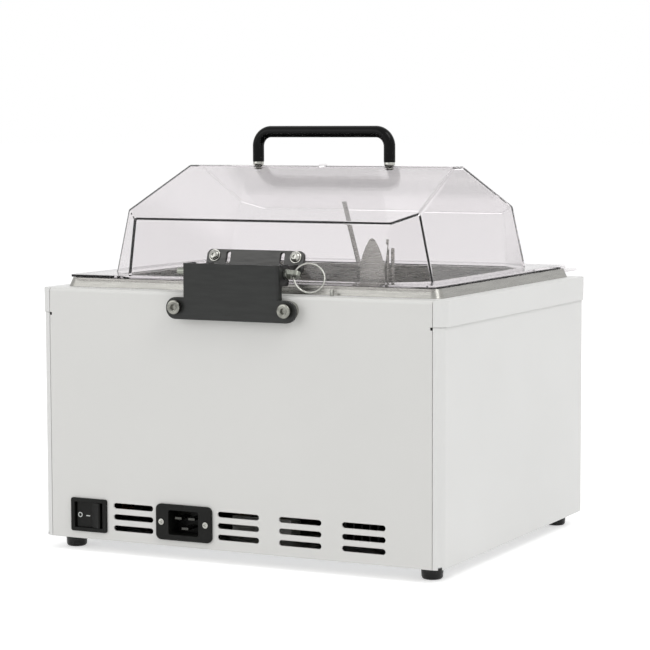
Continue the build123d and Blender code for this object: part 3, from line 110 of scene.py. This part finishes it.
foot_xs = (foot_inset_x - case_width / 2, case_width / 2 - foot_inset_x)
foot_depths = (foot_inset_depth, case_depth - foot_inset_depth)
flange_top = case_height + flange_rise
dome_top = flange_top + dome_height
bracket_screw_out = bracket_width / 2 + bracket_screw_reach
bracket_xs = (hinge_x - bracket_screw_out, hinge_x + bracket_screw_out)
bracket_screw_height = case_height - bracket_screw_drop
leaf_screw_out = bracket_width / 2 - leaf_screw_inset
leaf_screw_xs = (hinge_x - leaf_screw_out, hinge_x + leaf_screw_out)
handle_xs = (-handle_pitch / 2, handle_pitch / 2)


def at(x, depth, z):
    """A point in metres, with depth forward from the rear panel and z above the case's underside."""
    return Vector((x * MM, (rear - depth) * MM, (underside + z) * MM))


# Nodes that the materials share

white = (1, 1, 1, 1)
noise_roughness = 0.55
noise_low = 0.35
noise_high = 0.65


def tree_of(name):
    """New material and its empty node tree."""
    material = bpy.data.materials.new(name)
    material.use_nodes = True
    material.node_tree.nodes.clear()
    return material, material.node_tree


def add_node(tree, kind, inputs):
    """New node. Each input is a plain value, or another node's output that is linked to it."""
    node = tree.nodes.new(kind)
    for key, value in inputs.items():
        if isinstance(value, bpy.types.NodeSocket):
            tree.links.new(value, node.inputs[key])
        else:
            node.inputs[key].default_value = value
    return node


def combine(tree, operation, first, second):
    """Math node on two values, each a number or another node's output."""
    node = add_node(tree, "ShaderNodeMath", {0: first, 1: second})
    node.operation = operation
    return node.outputs["Value"]


def mixed(tree, amount, first, second):
    """First shader where the amount is 0, second where it is 1."""
    node = add_node(tree, "ShaderNodeMixShader", {"Fac": amount, 1: first, 2: second})
    return node.outputs["Shader"]


def noise(tree, vector, scale, detail):
    node = add_node(tree, "ShaderNodeTexNoise", {
        "Vector": vector, "Scale": scale, "Detail": detail, "Roughness": noise_roughness,
    })
    return node.outputs["Fac"]


def spread(tree, value, low, high):
    """Noise, which keeps near its middle, spread over a range of values."""
    node = add_node(tree, "ShaderNodeMapRange", {
        "Value": value, "From Min": noise_low, "From Max": noise_high, "To Min": low, "To Max": high,
    })
    return node.outputs["Result"]


def coordinates(tree, stretch=(1, 1, 1)):
    """Object coordinates. A stretch above 1 along an axis makes the grain run across it."""
    place = tree.nodes.new("ShaderNodeTexCoord")
    node = add_node(tree, "ShaderNodeMapping", {"Vector": place.outputs["Object"], "Scale": stretch})
    return node.outputs["Vector"]


def relief_of(tree, height, strength, depth):
    """Bump node, with its depth in mm."""
    return add_node(tree, "ShaderNodeBump", {
        "Height": height, "Strength": strength, "Distance": depth * MM,
    })


def show(tree, surface, kind="ShaderNodeOutputMaterial"):
    """Link a shader to a new output of its tree."""
    add_node(tree, kind, {"Surface": surface})


# Materials

ramp_ends = (0.32, 0.68)
patch_ratio = 2.3
least_rough = 0.02
texture_depth = 0.1
wave_scale = 9.0
wave_strength = 0.06
wave_depth = 0.4
smear_scale = 22.0
smear_spread = 0.2


def finish_of(
    name, colour, rough, metal=0.0, vary=0.04, vary_scale=14.0, rough_vary=0.05, bump=0.1,
    bump_scale=900.0, stretch=(1, 1, 1), edge=0.25, coat=0.0, detail=3.0, gloss=0.5,
):
    """A surface whose colour and roughness drift slowly, with a fine texture and softened edges.

    vary and rough_vary are how far colour and roughness drift, and vary_scale how finely. bump is
    the strength of the texture, edge the radius in mm of the softened edges, and gloss the
    specular level.
    """
    material, tree = tree_of(name)
    vector = coordinates(tree, stretch)
    ramp = add_node(tree, "ShaderNodeValToRGB", {"Fac": noise(tree, vector, vary_scale, detail)})
    for stop, position, factor in zip(ramp.color_ramp.elements, ramp_ends, (1 - vary, 1 + vary)):
        stop.position = position
        stop.color = [min(1, part * factor) for part in colour] + [1]
    patches = noise(tree, vector, vary_scale * patch_ratio, detail=4.0)
    roughness = spread(tree, patches, max(least_rough, rough - rough_vary), min(1.0, rough + rough_vary))
    relief = relief_of(tree, noise(tree, vector, bump_scale, detail=2.0), bump, texture_depth)
    if edge:
        soften = add_node(tree, "ShaderNodeBevel", {"Radius": edge * MM})
        soften.samples = 4
        tree.links.new(soften.outputs["Normal"], relief.inputs["Normal"])
    shader = add_node(tree, "ShaderNodeBsdfPrincipled", {
        "Base Color": ramp.outputs["Color"], "Roughness": roughness, "Metallic": metal,
        "Coat Weight": coat, "Specular IOR Level": gloss, "Normal": relief.outputs["Normal"],
    })
    show(tree, shader.outputs["BSDF"])
    return material


def clear_plastic(name, bent_colour, straight_colour, bending, sheen_bending, gloss, gloss_rough):
    """Clear sheet that bends what is seen through it, with a soft sheen on its front faces.

    bending is the index of refraction of the sheet, and sheen_bending the one that its sheen
    follows. Shadow and diffuse rays go straight through, as light does through the real one.
    """
    material, tree = tree_of(name)
    vector = coordinates(tree)
    waves = noise(tree, vector, wave_scale, detail=1.0)
    normal = relief_of(tree, waves, wave_strength, wave_depth).outputs["Normal"]
    bent = add_node(tree, "ShaderNodeBsdfGlass", {
        "Color": (*bent_colour, 1), "IOR": bending, "Roughness": 0.0, "Normal": normal,
    })
    straight = add_node(tree, "ShaderNodeBsdfTransparent", {"Color": (*straight_colour, 1)})
    smears = noise(tree, vector, smear_scale, detail=5.0)
    least, most = (gloss_rough * (1 - smear_spread), gloss_rough * (1 + smear_spread))
    sheen = add_node(tree, "ShaderNodeBsdfGlossy", {
        "Color": white, "Roughness": spread(tree, smears, least, most), "Normal": normal,
    })
    mirror = add_node(tree, "ShaderNodeFresnel", {"IOR": sheen_bending})
    side = tree.nodes.new("ShaderNodeNewGeometry")
    front = combine(tree, "SUBTRACT", 1.0, side.outputs["Backfacing"])
    front_mirror = combine(tree, "MULTIPLY", mirror.outputs["Fac"], front)
    sheen_amount = combine(tree, "MULTIPLY", front_mirror, gloss)
    sheet = mixed(tree, sheen_amount, bent.outputs["BSDF"], sheen.outputs["BSDF"])
    path = tree.nodes.new("ShaderNodeLightPath")
    lighting = combine(tree, "MAXIMUM", path.outputs["Is Shadow Ray"], path.outputs["Is Diffuse Ray"])
    show(tree, mixed(tree, lighting, sheet, straight.outputs["BSDF"]))
    return material


paint = dict(rough=0.42, vary=0.012, vary_scale=5.0, bump=0.22, bump_scale=1400.0, edge=0.5)
dark_satin = dict(
    rough=0.36, metal=0.7, vary=0.1, vary_scale=40.0, rough_vary=0.07, bump=0.3, bump_scale=700.0,
    stretch=(1, 6, 6), edge=0.35,
)
finishes = {
    "case_paint": dict(colour=(0.8, 0.8, 0.785), **paint),
    "panel_paint": dict(colour=(0.76, 0.757, 0.735), **paint),
    "inner_steel": dict(
        colour=(0.52, 0.53, 0.54), rough=0.42, metal=0.9, vary=0.12, vary_scale=90.0, rough_vary=0.1,
        bump_scale=400.0,
    ),
    "tank_steel": dict(
        colour=(0.32, 0.315, 0.295), rough=0.28, metal=0.85, vary=0.08, vary_scale=26.0,
        rough_vary=0.07, bump_scale=420.0, stretch=(1, 1, 14), edge=0.6, detail=6.0,
    ),
    "bright_steel": dict(
        colour=(0.42, 0.42, 0.39), rough=0.2, metal=1.0, vary=0.3, vary_scale=160.0,
        rough_vary=0.06, bump=0.05,
    ),
    "bracket_steel": dict(colour=(0.03, 0.031, 0.03), **dark_satin),
    "pin_steel": dict(
        colour=(0.24, 0.25, 0.22), rough=0.24, metal=1.0, vary=0.08, vary_scale=60.0,
        rough_vary=0.06, bump=0.2, stretch=(8, 1, 1),
    ),
    "heater_steel": dict(
        colour=(0.36, 0.33, 0.29), rough=0.36, metal=1.0, vary=0.2, vary_scale=30.0,
        rough_vary=0.1, bump=0.2, bump_scale=500.0,
    ),
    "brass": dict(
        colour=(0.62, 0.45, 0.18), rough=0.3, metal=1.0, vary=0.08, vary_scale=60.0, rough_vary=0.06,
    ),
    "sink_aluminium": dict(
        colour=(0.02, 0.02, 0.022), rough=0.5, metal=0.2, vary=0.06, vary_scale=40.0,
        rough_vary=0.06, bump=0.2, bump_scale=600.0, stretch=(1, 9, 1),
    ),
    "magnet": dict(colour=(0.05, 0.05, 0.055), rough=0.5, metal=0.4, vary=0.2, vary_scale=200.0),
    "foot_rubber": dict(
        colour=(0.006, 0.006, 0.006), rough=0.25, vary=0.2, vary_scale=60.0, rough_vary=0.06,
        bump=0.12, bump_scale=800.0, gloss=0.3,
    ),
    "seal_rubber": dict(
        colour=(0.006, 0.006, 0.006), rough=0.8, vary=0.3, vary_scale=200.0, rough_vary=0.1,
        bump=0.6, bump_scale=1500.0,
    ),
    "insulation": dict(
        colour=(0.7, 0.62, 0.42), rough=0.95, vary=0.18, vary_scale=120.0, rough_vary=0.04,
        bump=1.0, bump_scale=700.0,
    ),
    "black_plastic": dict(
        colour=(0.0075, 0.0078, 0.007), rough=0.42, vary=0.15, vary_scale=80.0, rough_vary=0.07,
        bump=0.35, bump_scale=1500.0, gloss=0.16,
    ),
    "dark_plastic": dict(
        colour=(0.03, 0.03, 0.033), rough=0.5, vary=0.12, vary_scale=80.0, rough_vary=0.06,
        bump=0.35, bump_scale=1500.0,
    ),
    "white_plastic": dict(
        colour=(0.78, 0.78, 0.75), rough=0.45, vary=0.03, vary_scale=80.0, rough_vary=0.06,
        bump=0.2, bump_scale=1200.0,
    ),
    "float_plastic": dict(
        colour=(0.8, 0.8, 0.77), rough=0.4, vary_scale=60.0, rough_vary=0.06, bump=0.2,
        bump_scale=1200.0,
    ),
    "fascia_plastic": dict(
        colour=(0.028, 0.033, 0.045), rough=0.36, vary=0.08, vary_scale=40.0, bump=0.4,
        bump_scale=2200.0,
    ),
    "key_plastic": dict(
        colour=(0.3, 0.32, 0.36), rough=0.4, vary_scale=80.0, bump=0.3, bump_scale=1800.0,
    ),
    "handle_plastic": dict(
        colour=(0.004, 0.004, 0.004), rough=0.13, vary=0.25, vary_scale=40.0, bump=0.05,
        bump_scale=300.0, edge=0.2, gloss=0.12,
    ),
    "lens_plastic": dict(
        colour=(0.012, 0.012, 0.014), rough=0.08, vary=0.2, vary_scale=30.0, rough_vary=0.03,
        bump=0.02, bump_scale=200.0, edge=0.2, coat=0.5,
    ),
    "board": dict(
        colour=(0.02, 0.11, 0.045), rough=0.4, vary=0.15, vary_scale=300.0, rough_vary=0.08, bump=0.4,
    ),
    "wire_plastic": dict(
        colour=(0.16, 0.07, 0.03), rough=0.4, vary=0.1, vary_scale=60.0, rough_vary=0.06,
    ),
}
materials = {slot: finish_of(slot, **finish) for slot, finish in finishes.items()}
materials["lid_clear"] = clear_plastic(
    "lid_clear", bent_colour=(0.928, 0.918, 0.923), straight_colour=(0.96, 0.955, 0.957),
    bending=1.2, sheen_bending=1.49, gloss=0.5, gloss_rough=0.2,
)

# Finishes that some pieces have instead of their slot's own: print, and copies with painted light or
# painted shade

mark_white = finish_of(
    "mark_white", colour=(0.62, 0.64, 0.62), rough=0.5, vary=0.06, vary_scale=300.0,
    rough_vary=0.06, bump=0.3, bump_scale=2500.0, edge=0.0,
)
# Painted light: the bracket's dark finish made lighter for the leaf, standing in for the light on its
# upward-tilted face
painted_lit_leaf_steel = finish_of("painted_lit_leaf_steel", colour=(0.058, 0.058, 0.056), **dark_satin)
# Painted shade: the inlet's pins in a near-black metal, standing in for the shade inside the inlet's
# recess
painted_shade_blade_steel = finish_of(
    "painted_shade_blade_steel", colour=(0.07, 0.07, 0.065), rough=0.3, metal=1.0, vary=0.1, vary_scale=60.0,
    rough_vary=0.07,
)
# Painted shade: a darker copy of bright_steel for the bracket's socket screws
painted_shade_socket_steel = finish_of(
    "painted_shade_socket_steel", colour=(0.25, 0.25, 0.225), rough=0.22, metal=1.0, vary=0.3,
    vary_scale=160.0, rough_vary=0.06, bump=0.05,
)
own_looks = {"lid_leaf": painted_lit_leaf_steel, "inlet_pins": painted_shade_blade_steel}

for entry in frame["record"]["subparts"]:
    mesh = nodes[entry["node"]].data
    mesh.materials.clear()
    mesh.materials.append(own_looks.get(entry["node"]) or materials[entry["material_slot"]])


# Mesh helpers

sharp_angle = 35
flute_count = 48


def add(name, bm, body, slot, material=None):
    """New piece from a mesh, smooth but for its sharp edges, riding on a body."""
    bmesh.ops.recalc_face_normals(bm, faces=bm.faces)
    mesh = bpy.data.meshes.new(name)
    bm.to_mesh(mesh)
    bm.free()
    mesh.shade_smooth()
    mesh.set_sharp_from_angle(angle=math.radians(sharp_angle))
    mesh.materials.append(material or materials[slot])
    obj = bpy.data.objects.new(name, mesh)
    bpy.context.scene.collection.objects.link(obj)
    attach(obj, body)
    return obj


def round_angles(count):
    """Angles that divide a full turn evenly."""
    return [2 * math.pi * k / count for k in range(count)]


def hexagon(radius):
    """Radius at an angle, for a hexagon with its corners at this radius."""
    half = math.pi / 6
    return lambda theta: radius * math.cos(half) / math.cos(theta % (2 * half) - half)


def fluted(radius, depth):
    """Radius at an angle, for a round with fine grip flutes."""
    return lambda theta: radius - depth * (0.5 + 0.5 * math.cos(theta * flute_count))


def join_rings(bm, rings, closed):
    """Faces between neighbouring rings of vertices. A ring of one vertex is a tip."""
    pairs = list(zip(rings, rings[1:]))
    if closed:
        pairs.append((rings[-1], rings[0]))
    for lower, upper in pairs:
        count = max(len(lower), len(upper))
        for i in range(count):
            j = (i + 1) % count
            if len(lower) == 1:
                bm.faces.new((lower[0], upper[j], upper[i]))
            elif len(upper) == 1:
                bm.faces.new((lower[i], lower[j], upper[0]))
            else:
                bm.faces.new((lower[i], lower[j], upper[j], upper[i]))


def turn(bm, start, axis, profile, segments=96, closed=False):
    """Turned form from pairs of a distance along the axis and a radius, in mm.

    A radius of 0 is a tip, and hexagon() or fluted() takes the place of a round radius. Closed
    joins the last pair to the first, for a form with a bore.
    """
    axis = Vector(axis).normalized()
    side = axis.orthogonal().normalized()
    other = axis.cross(side)
    rings = []
    for along, size in profile:
        centre = start + axis * along * MM
        if size == 0:
            rings.append([bm.verts.new(centre)])
            continue
        ring = []
        for theta in round_angles(segments):
            radius = (size(theta) if callable(size) else size) * MM
            outward = side * math.cos(theta) + other * math.sin(theta)
            ring.append(bm.verts.new(centre + outward * radius))
        rings.append(ring)
    join_rings(bm, rings, closed)


def chamfered(start, end, bore, edge, outer, bevel):
    """Profile of a bored round or hexagon whose outer radius drops to edge over each bevel."""
    step = math.copysign(bevel, end - start)
    return [
        (start, bore), (start, edge), (start + step, outer), (end - step, outer), (end, edge), (end, bore),
    ]


def tube(bm, points, radius, segments, closed=False):
    """Round bar along points, with caps unless closed. Sizes in metres."""
    count = len(points)
    rings = []
    normal = None
    for i, point in enumerate(points):
        if closed:
            along = points[(i + 1) % count] - points[i - 1]
        else:
            along = points[min(i + 1, count - 1)] - points[max(i - 1, 0)]
        along.normalize()
        normal = along.orthogonal() if normal is None else normal - along * normal.dot(along)
        normal.normalize()
        other = along.cross(normal)
        rings.append([
            bm.verts.new(point + (normal * math.cos(theta) + other * math.sin(theta)) * radius)
            for theta in round_angles(segments)
        ])
    join_rings(bm, rings, closed)
    if not closed:
        bm.faces.new(rings[0][::-1])
        bm.faces.new(rings[-1])


def bow(corners, radius, steps):
    """Points along straight runs whose corners are rounded. Sizes in metres."""
    points = [corners[0]]
    for before, corner, after in zip(corners, corners[1:], corners[2:]):
        back = (before - corner).normalized()
        ahead = (after - corner).normalized()
        half = back.angle(ahead) / 2
        setback = radius / math.tan(half)
        centre = corner + (back + ahead).normalized() * radius / math.sin(half)
        first = corner + back * setback - centre
        last = corner + ahead * setback - centre
        for step in range(steps + 1):
            share = step / steps
            points.append(centre + (first * (1 - share) + last * share).normalized() * radius)
    points.append(corners[-1])
    return points


# Feet: down the outside, over the ground edge and up the recess of the screw

foot_profile = [
    (0, 2.2), (0, 9.6), (0.25, 9.95), (0.9, 10.0), (9.6, 9.25), (10.5, 9.0), (11.3, 8.5), (11.8, 7.8),
    (12.0, 7.0), (12.0, 5.0), (11.8, 4.6), (11.3, 4.35), (7.0, 4.3), (7.0, 2.2),
]
bm = bmesh.new()
for x in foot_xs:
    for depth in foot_depths:
        turn(bm, at(x, depth, 0), (0, 0, -1), foot_profile, closed=True)
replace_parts(add("feet_moulded", bm, "case", "foot_rubber"), "feet")

# Socket screws of the hinge bracket, from tip to fluted head and down into the socket, with nuts

shank = 4.0
grip = fluted(6.3, 0.16)
socket = hexagon(3.05)
socket_screw_profile = [
    (-22, 0), (-22, 3.4), (-21.4, shank), (0, shank), (0, 5.9), (0.25, 6.25), (0.7, grip), (3.9, grip),
    (4.35, 6.22), (4.8, 5.9), (5.0, 5.4), (5.0, 3.7), (4.75, 3.4), (4.5, socket), (2.0, socket), (1.7, 0),
]
bracket_nut_profile = chamfered(0, 6.0, bore=4.1, edge=6.2, outer=hexagon(7.0), bevel=0.6)
bm = bmesh.new()
for x in bracket_xs:
    turn(bm, at(x, -bracket_proud, bracket_screw_height), (0, 1, 0), socket_screw_profile, segments=192)
    turn(bm, at(x, bracket_nut_depth, bracket_screw_height), (0, -1, 0), bracket_nut_profile, closed=True)
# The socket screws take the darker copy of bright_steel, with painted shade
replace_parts(add("bracket_socket_screws", bm, "case", "bright_steel", painted_shade_socket_steel), "bracket_screws")

# Bushes that hold the bracket off the rear panel

bush_profile = chamfered(0, spacer_length, bore=4.1, edge=7.6, outer=8.0, bevel=0.4)
bm = bmesh.new()
for x in bracket_xs:
    turn(bm, at(x, 0, bracket_screw_height), (0, 1, 0), bush_profile, closed=True)
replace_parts(add("bracket_bushes", bm, "case", "bright_steel"), "bracket_spacers")

# Button screws, washers and nuts of the leaf, square to the lid's leaning rear wall

lean = math.atan(rear_wall_slope)
wall_out = Vector((0, math.cos(lean), math.sin(lean)))
wall_up = Vector((0, -math.sin(lean), math.cos(lean)))
leaf_screw_slant = leaf_screw_rise / math.cos(lean)
leaf_washer_profile = [(3.0, 2.7), (3.0, 5.3), (3.15, 5.5), (3.8, 5.5), (4.0, 5.25), (4.0, 2.7)]
button_screw_profile = [
    (-8.5, 0), (-8.5, 2.1), (-8.0, 2.5), (4.0, 2.5), (4.0, 4.35), (4.3, 4.6), (4.9, 4.5), (5.6, 4.1),
    (6.2, 3.4), (6.6, 2.6), (6.75, 2.0), (6.7, hexagon(1.85)), (5.2, hexagon(1.8)), (5.0, 0),
]
leaf_nut_profile = chamfered(-dome_wall, -7.0, bore=2.7, edge=4.1, outer=hexagon(4.6), bevel=0.4)
bm = bmesh.new()
for x in leaf_screw_xs:
    foot = at(x, dome_rear_depth, flange_top) + wall_up * leaf_screw_slant * MM
    turn(bm, foot, wall_out, leaf_washer_profile, closed=True)
    turn(bm, foot, wall_out, button_screw_profile)
    turn(bm, foot, wall_out, leaf_nut_profile, closed=True)
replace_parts(add("leaf_button_screws", bm, "lid", "bright_steel"), "leaf_screws")

# Pull ring, hanging from the hole in the pin's leaning head

tilt = math.radians(pin_head_lean)
swing = math.radians(ring_turn)
hole_axis = Vector((0, -math.sin(tilt), math.cos(tilt)))
across = Vector((0, -math.cos(tilt), -math.sin(tilt)))
out = Vector((-1, 0, 0)) * math.cos(swing) + across * math.sin(swing)
hole = at(hinge_x - bracket_width / 2 - ring_hole_reach, pin_depth, case_height + pin_rise)
ring_centre = hole + out * ring_radius * MM
bm = bmesh.new()
tube(bm, [
    ring_centre + (out * math.cos(theta) + hole_axis * math.sin(theta)) * ring_radius * MM
    for theta in round_angles(128)
], ring_wire * MM, segments=20, closed=True)
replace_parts(add("pull_ring", bm, "ring", "bright_steel"), "pin_ring")

# Bow handle

leg_low = dome_top + ferrule_height
leg_high = dome_top + handle_bar_rise
left, right = handle_xs
legs = [
    at(x, ridge_depth, z)
    for x, z in ((left, leg_low), (left, leg_high), (right, leg_high), (right, leg_low))
]
bm = bmesh.new()
tube(bm, bow(legs, handle_bend * MM, steps=20), handle_radius * MM, segments=40)
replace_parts(add("bow_handle", bm, "lid", "handle_plastic"), "lid_handle")

# Collars between the handle and the dome

collar_profile = [
    (0, 2.6), (0, 4.3), (0.2, 4.6), (0.75, 5.1), (1.1, 5.2), (3.1, 5.2), (3.4, 5.0), (3.4, 2.6),
]
bm = bmesh.new()
for x in handle_xs:
    turn(bm, at(x, ridge_depth, dome_top), (0, 0, 1), collar_profile, closed=True)
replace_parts(add("handle_collars", bm, "lid", "bright_steel"), "handle_ferrules")

# Screws up into the handle, from the socket in the head to the tip

handle_screw_profile = [
    (0.9, 0), (0.9, hexagon(1.8)), (0.1, hexagon(1.9)), (0, 2.4), (0.2, 3.3), (0.7, 4.0), (1.2, 4.2),
    (2.4, 4.2), (2.4, 2.5), (19.4, 2.5), (19.8, 2.1), (19.8, 0),
]
bm = bmesh.new()
for x in handle_xs:
    turn(bm, at(x, ridge_depth, dome_top - handle_head_drop), (0, 0, 1), handle_screw_profile)
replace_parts(add("handle_button_screws", bm, "lid", "bright_steel"), "handle_screws")

# Deck peg, from the foot of its stem

peg_profile = [
    (0, 0), (0, 1.2), (5.5, 1.2), (5.5, 1.6), (5.7, 1.75), (10.7, 1.75), (11.2, 1.55), (11.45, 1.1),
    (11.5, 0),
]
bm = bmesh.new()
turn(bm, at(peg_x, peg_depth, case_height - peg_stem_length), (0, 0, 1), peg_profile, segments=64)
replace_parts(add("peg_turned", bm, "case", "bright_steel"), "deck_peg")


# Marks of the rocker and symbols of the keys


def rectangle(left, right, low, high):
    return [(left, low), (right, low), (right, high), (left, high)]


def plate(bm, place, outline, thickness):
    """Flat raised mark: outline in mm on the XY plane of place."""
    low = [bm.verts.new(place @ Vector((x * MM, y * MM, 0))) for x, y in outline]
    high = [bm.verts.new(place @ Vector((x * MM, y * MM, thickness * MM))) for x, y in outline]
    bm.faces.new(low[::-1])
    bm.faces.new(high)
    for i in range(len(outline)):
        j = (i + 1) % len(outline)
        bm.faces.new((low[i], low[j], high[j], high[i]))


def hoop(bm, place, radius, wide, thickness):
    """Flat ring on the XY plane of place."""
    start = place @ Vector((0, 0, 0))
    axis = (place @ Vector((0, 0, 1))) - start
    bore = radius - wide
    profile = [(0, bore), (0, radius), (thickness, radius), (thickness, bore)]
    turn(bm, start, axis, profile, segments=48, closed=True)


def facing(origin, outward):
    """Matrix whose Z points outward and Y up."""
    z = outward.normalized()
    x = Vector((0, 0, 1)).cross(z).normalized()
    y = z.cross(x)
    matrix = Matrix((x, y, z)).transposed().to_4x4()
    matrix.translation = origin
    return matrix


sight = 40.0


def on_rocker(x, z):
    """Place on the rocker's outer face, found by looking at it from behind the bath."""
    rocker = nodes["power_rocker"]
    inward = rocker.matrix_world.inverted()
    start = inward @ at(x, -sight, z)
    hit, spot, normal = rocker.ray_cast(start, (inward @ at(x, sight, z) - start).normalized())[:3]
    if not hit:
        raise RuntimeError("no rocker face behind its mark")
    return facing(rocker.matrix_world @ spot, rocker.matrix_world.to_3x3() @ normal)


off_mark_x = 158.9
off_mark_height = 21.4
on_mark_x = 150.6
on_mark_height = 20.9
mark_thickness = 0.06
bpy.context.view_layer.update()
bm = bmesh.new()
hoop(bm, on_rocker(off_mark_x, off_mark_height), radius=2.3, wide=0.8, thickness=mark_thickness)
plate(bm, on_rocker(on_mark_x, on_mark_height), rectangle(-2.0, 2.0, -0.45, 0.45), mark_thickness)
add("rocker_marks", bm, "rocker", "black_plastic", mark_white)

symbol_thickness = 0.08
arrow_down = [(-2.4, 1.4), (2.4, 1.4), (0, -2.4)]
arrow_up = [(-2.4, -1.4), (2.4, -1.4), (0, 2.4)]
clock_hands = [rectangle(-0.25, 0.25, -0.25, 1.7), rectangle(0.25, 1.3, -0.25, 0.25)]
symbols = {
    "key_set": (True, []),
    "key_down": (False, [arrow_down]),
    "key_up": (False, [arrow_up]),
    "key_timer": (True, clock_hands),
}
for i, (body, (ringed, outlines)) in enumerate(symbols.items()):
    key_face = at(key_first_x + key_pitch * i, case_depth + key_proud, key_height)
    place = facing(key_face, Vector((0, -1, 0)))
    bm = bmesh.new()
    if ringed:
        hoop(bm, place, radius=2.6, wide=0.5, thickness=symbol_thickness)
    for outline in outlines:
        plate(bm, place, outline, symbol_thickness)
    add(body + "_symbol", bm, body, "key_plastic", mark_white)


# Stage and light. The floor's size is in metres

floor_size = 30
floor_colour = (0.86, 0.86, 0.86, 1)
floor_glow = 0.5
ambient_strength = 0.62
backdrop_strength = 1.0


def looked_at(tree):
    """1 for rays from the camera, off a gloss or through the lid."""
    path = tree.nodes.new("ShaderNodeLightPath")
    value = path.outputs["Is Camera Ray"]
    for name in ("Is Glossy Ray", "Is Transmission Ray"):
        value = combine(tree, "MAXIMUM", value, path.outputs[name])
    return value


def background(tree, strength):
    node = add_node(tree, "ShaderNodeBackground", {"Color": white, "Strength": strength})
    return node.outputs["Background"]


mesh = bpy.data.meshes.new("floor")
bm = bmesh.new()
bmesh.ops.create_grid(bm, x_segments=1, y_segments=1, size=floor_size)
bm.to_mesh(mesh)
bm.free()
floor = bpy.data.objects.new("floor", mesh)
bpy.context.scene.collection.objects.link(floor)
floor_material, tree = tree_of("floor_white")
matt = add_node(tree, "ShaderNodeBsdfDiffuse", {"Color": floor_colour})
glow = add_node(tree, "ShaderNodeEmission", {
    "Color": white, "Strength": combine(tree, "MULTIPLY", looked_at(tree), floor_glow),
})
both = add_node(tree, "ShaderNodeAddShader", {0: matt.outputs["BSDF"], 1: glow.outputs["Emission"]})
show(tree, both.outputs["Shader"])
mesh.materials.append(floor_material)

world = bpy.data.worlds.new("studio")
bpy.context.scene.world = world
world.use_nodes = True
tree = world.node_tree
tree.nodes.clear()
ambient = background(tree, ambient_strength)
backdrop = background(tree, backdrop_strength)
show(tree, mixed(tree, looked_at(tree), ambient, backdrop), "ShaderNodeOutputWorld")


lamp_target = Vector((0, 0, 0.2))


def lamp(name, place, size, power):
    """Square lamp aimed at the middle of the bath. Place and size in metres, power in watts."""
    data = bpy.data.lights.new(name, "AREA")
    data.shape = "SQUARE"
    data.size = size
    data.energy = power
    obj = bpy.data.objects.new(name, data)
    obj.location = place
    obj.rotation_euler = (lamp_target - Vector(place)).to_track_quat("-Z", "Y").to_euler()
    bpy.context.scene.collection.objects.link(obj)
    return obj


lamp("key", place=(-2.1, 0.8, 2.9), size=1.6, power=34)
lamp("fill", place=(1.6, 2.4, 1.4), size=2.0, power=16)
front = lamp("front", place=(0.4, -2.6, 1.8), size=2.0, power=16)
front.visible_glossy = False

# Camera, placed and turned as the fit to the case's corners gives it

camera_x = -961.86
camera_depth = -1738.77
camera_height = 376.06
camera_right = Vector((-0.89385, -0.44836, -0.00303))
camera_up = Vector((0.03713, -0.08075, 0.99604))
camera_forward = Vector((0.44683, -0.89020, -0.08883))
data = bpy.data.cameras.new("camera")
data.sensor_width = 36.0
data.lens = 127.5
data.clip_start = 0.1
data.clip_end = 60.0
camera = bpy.data.objects.new("camera", data)
camera_matrix = Matrix((camera_right, camera_up, -camera_forward)).transposed().to_4x4()
camera_matrix.translation = at(camera_x, camera_depth, camera_height)
camera.matrix_world = camera_matrix
bpy.context.scene.collection.objects.link(camera)
bpy.context.scene.camera = camera
bpy.context.scene.view_settings.view_transform = "Standard"
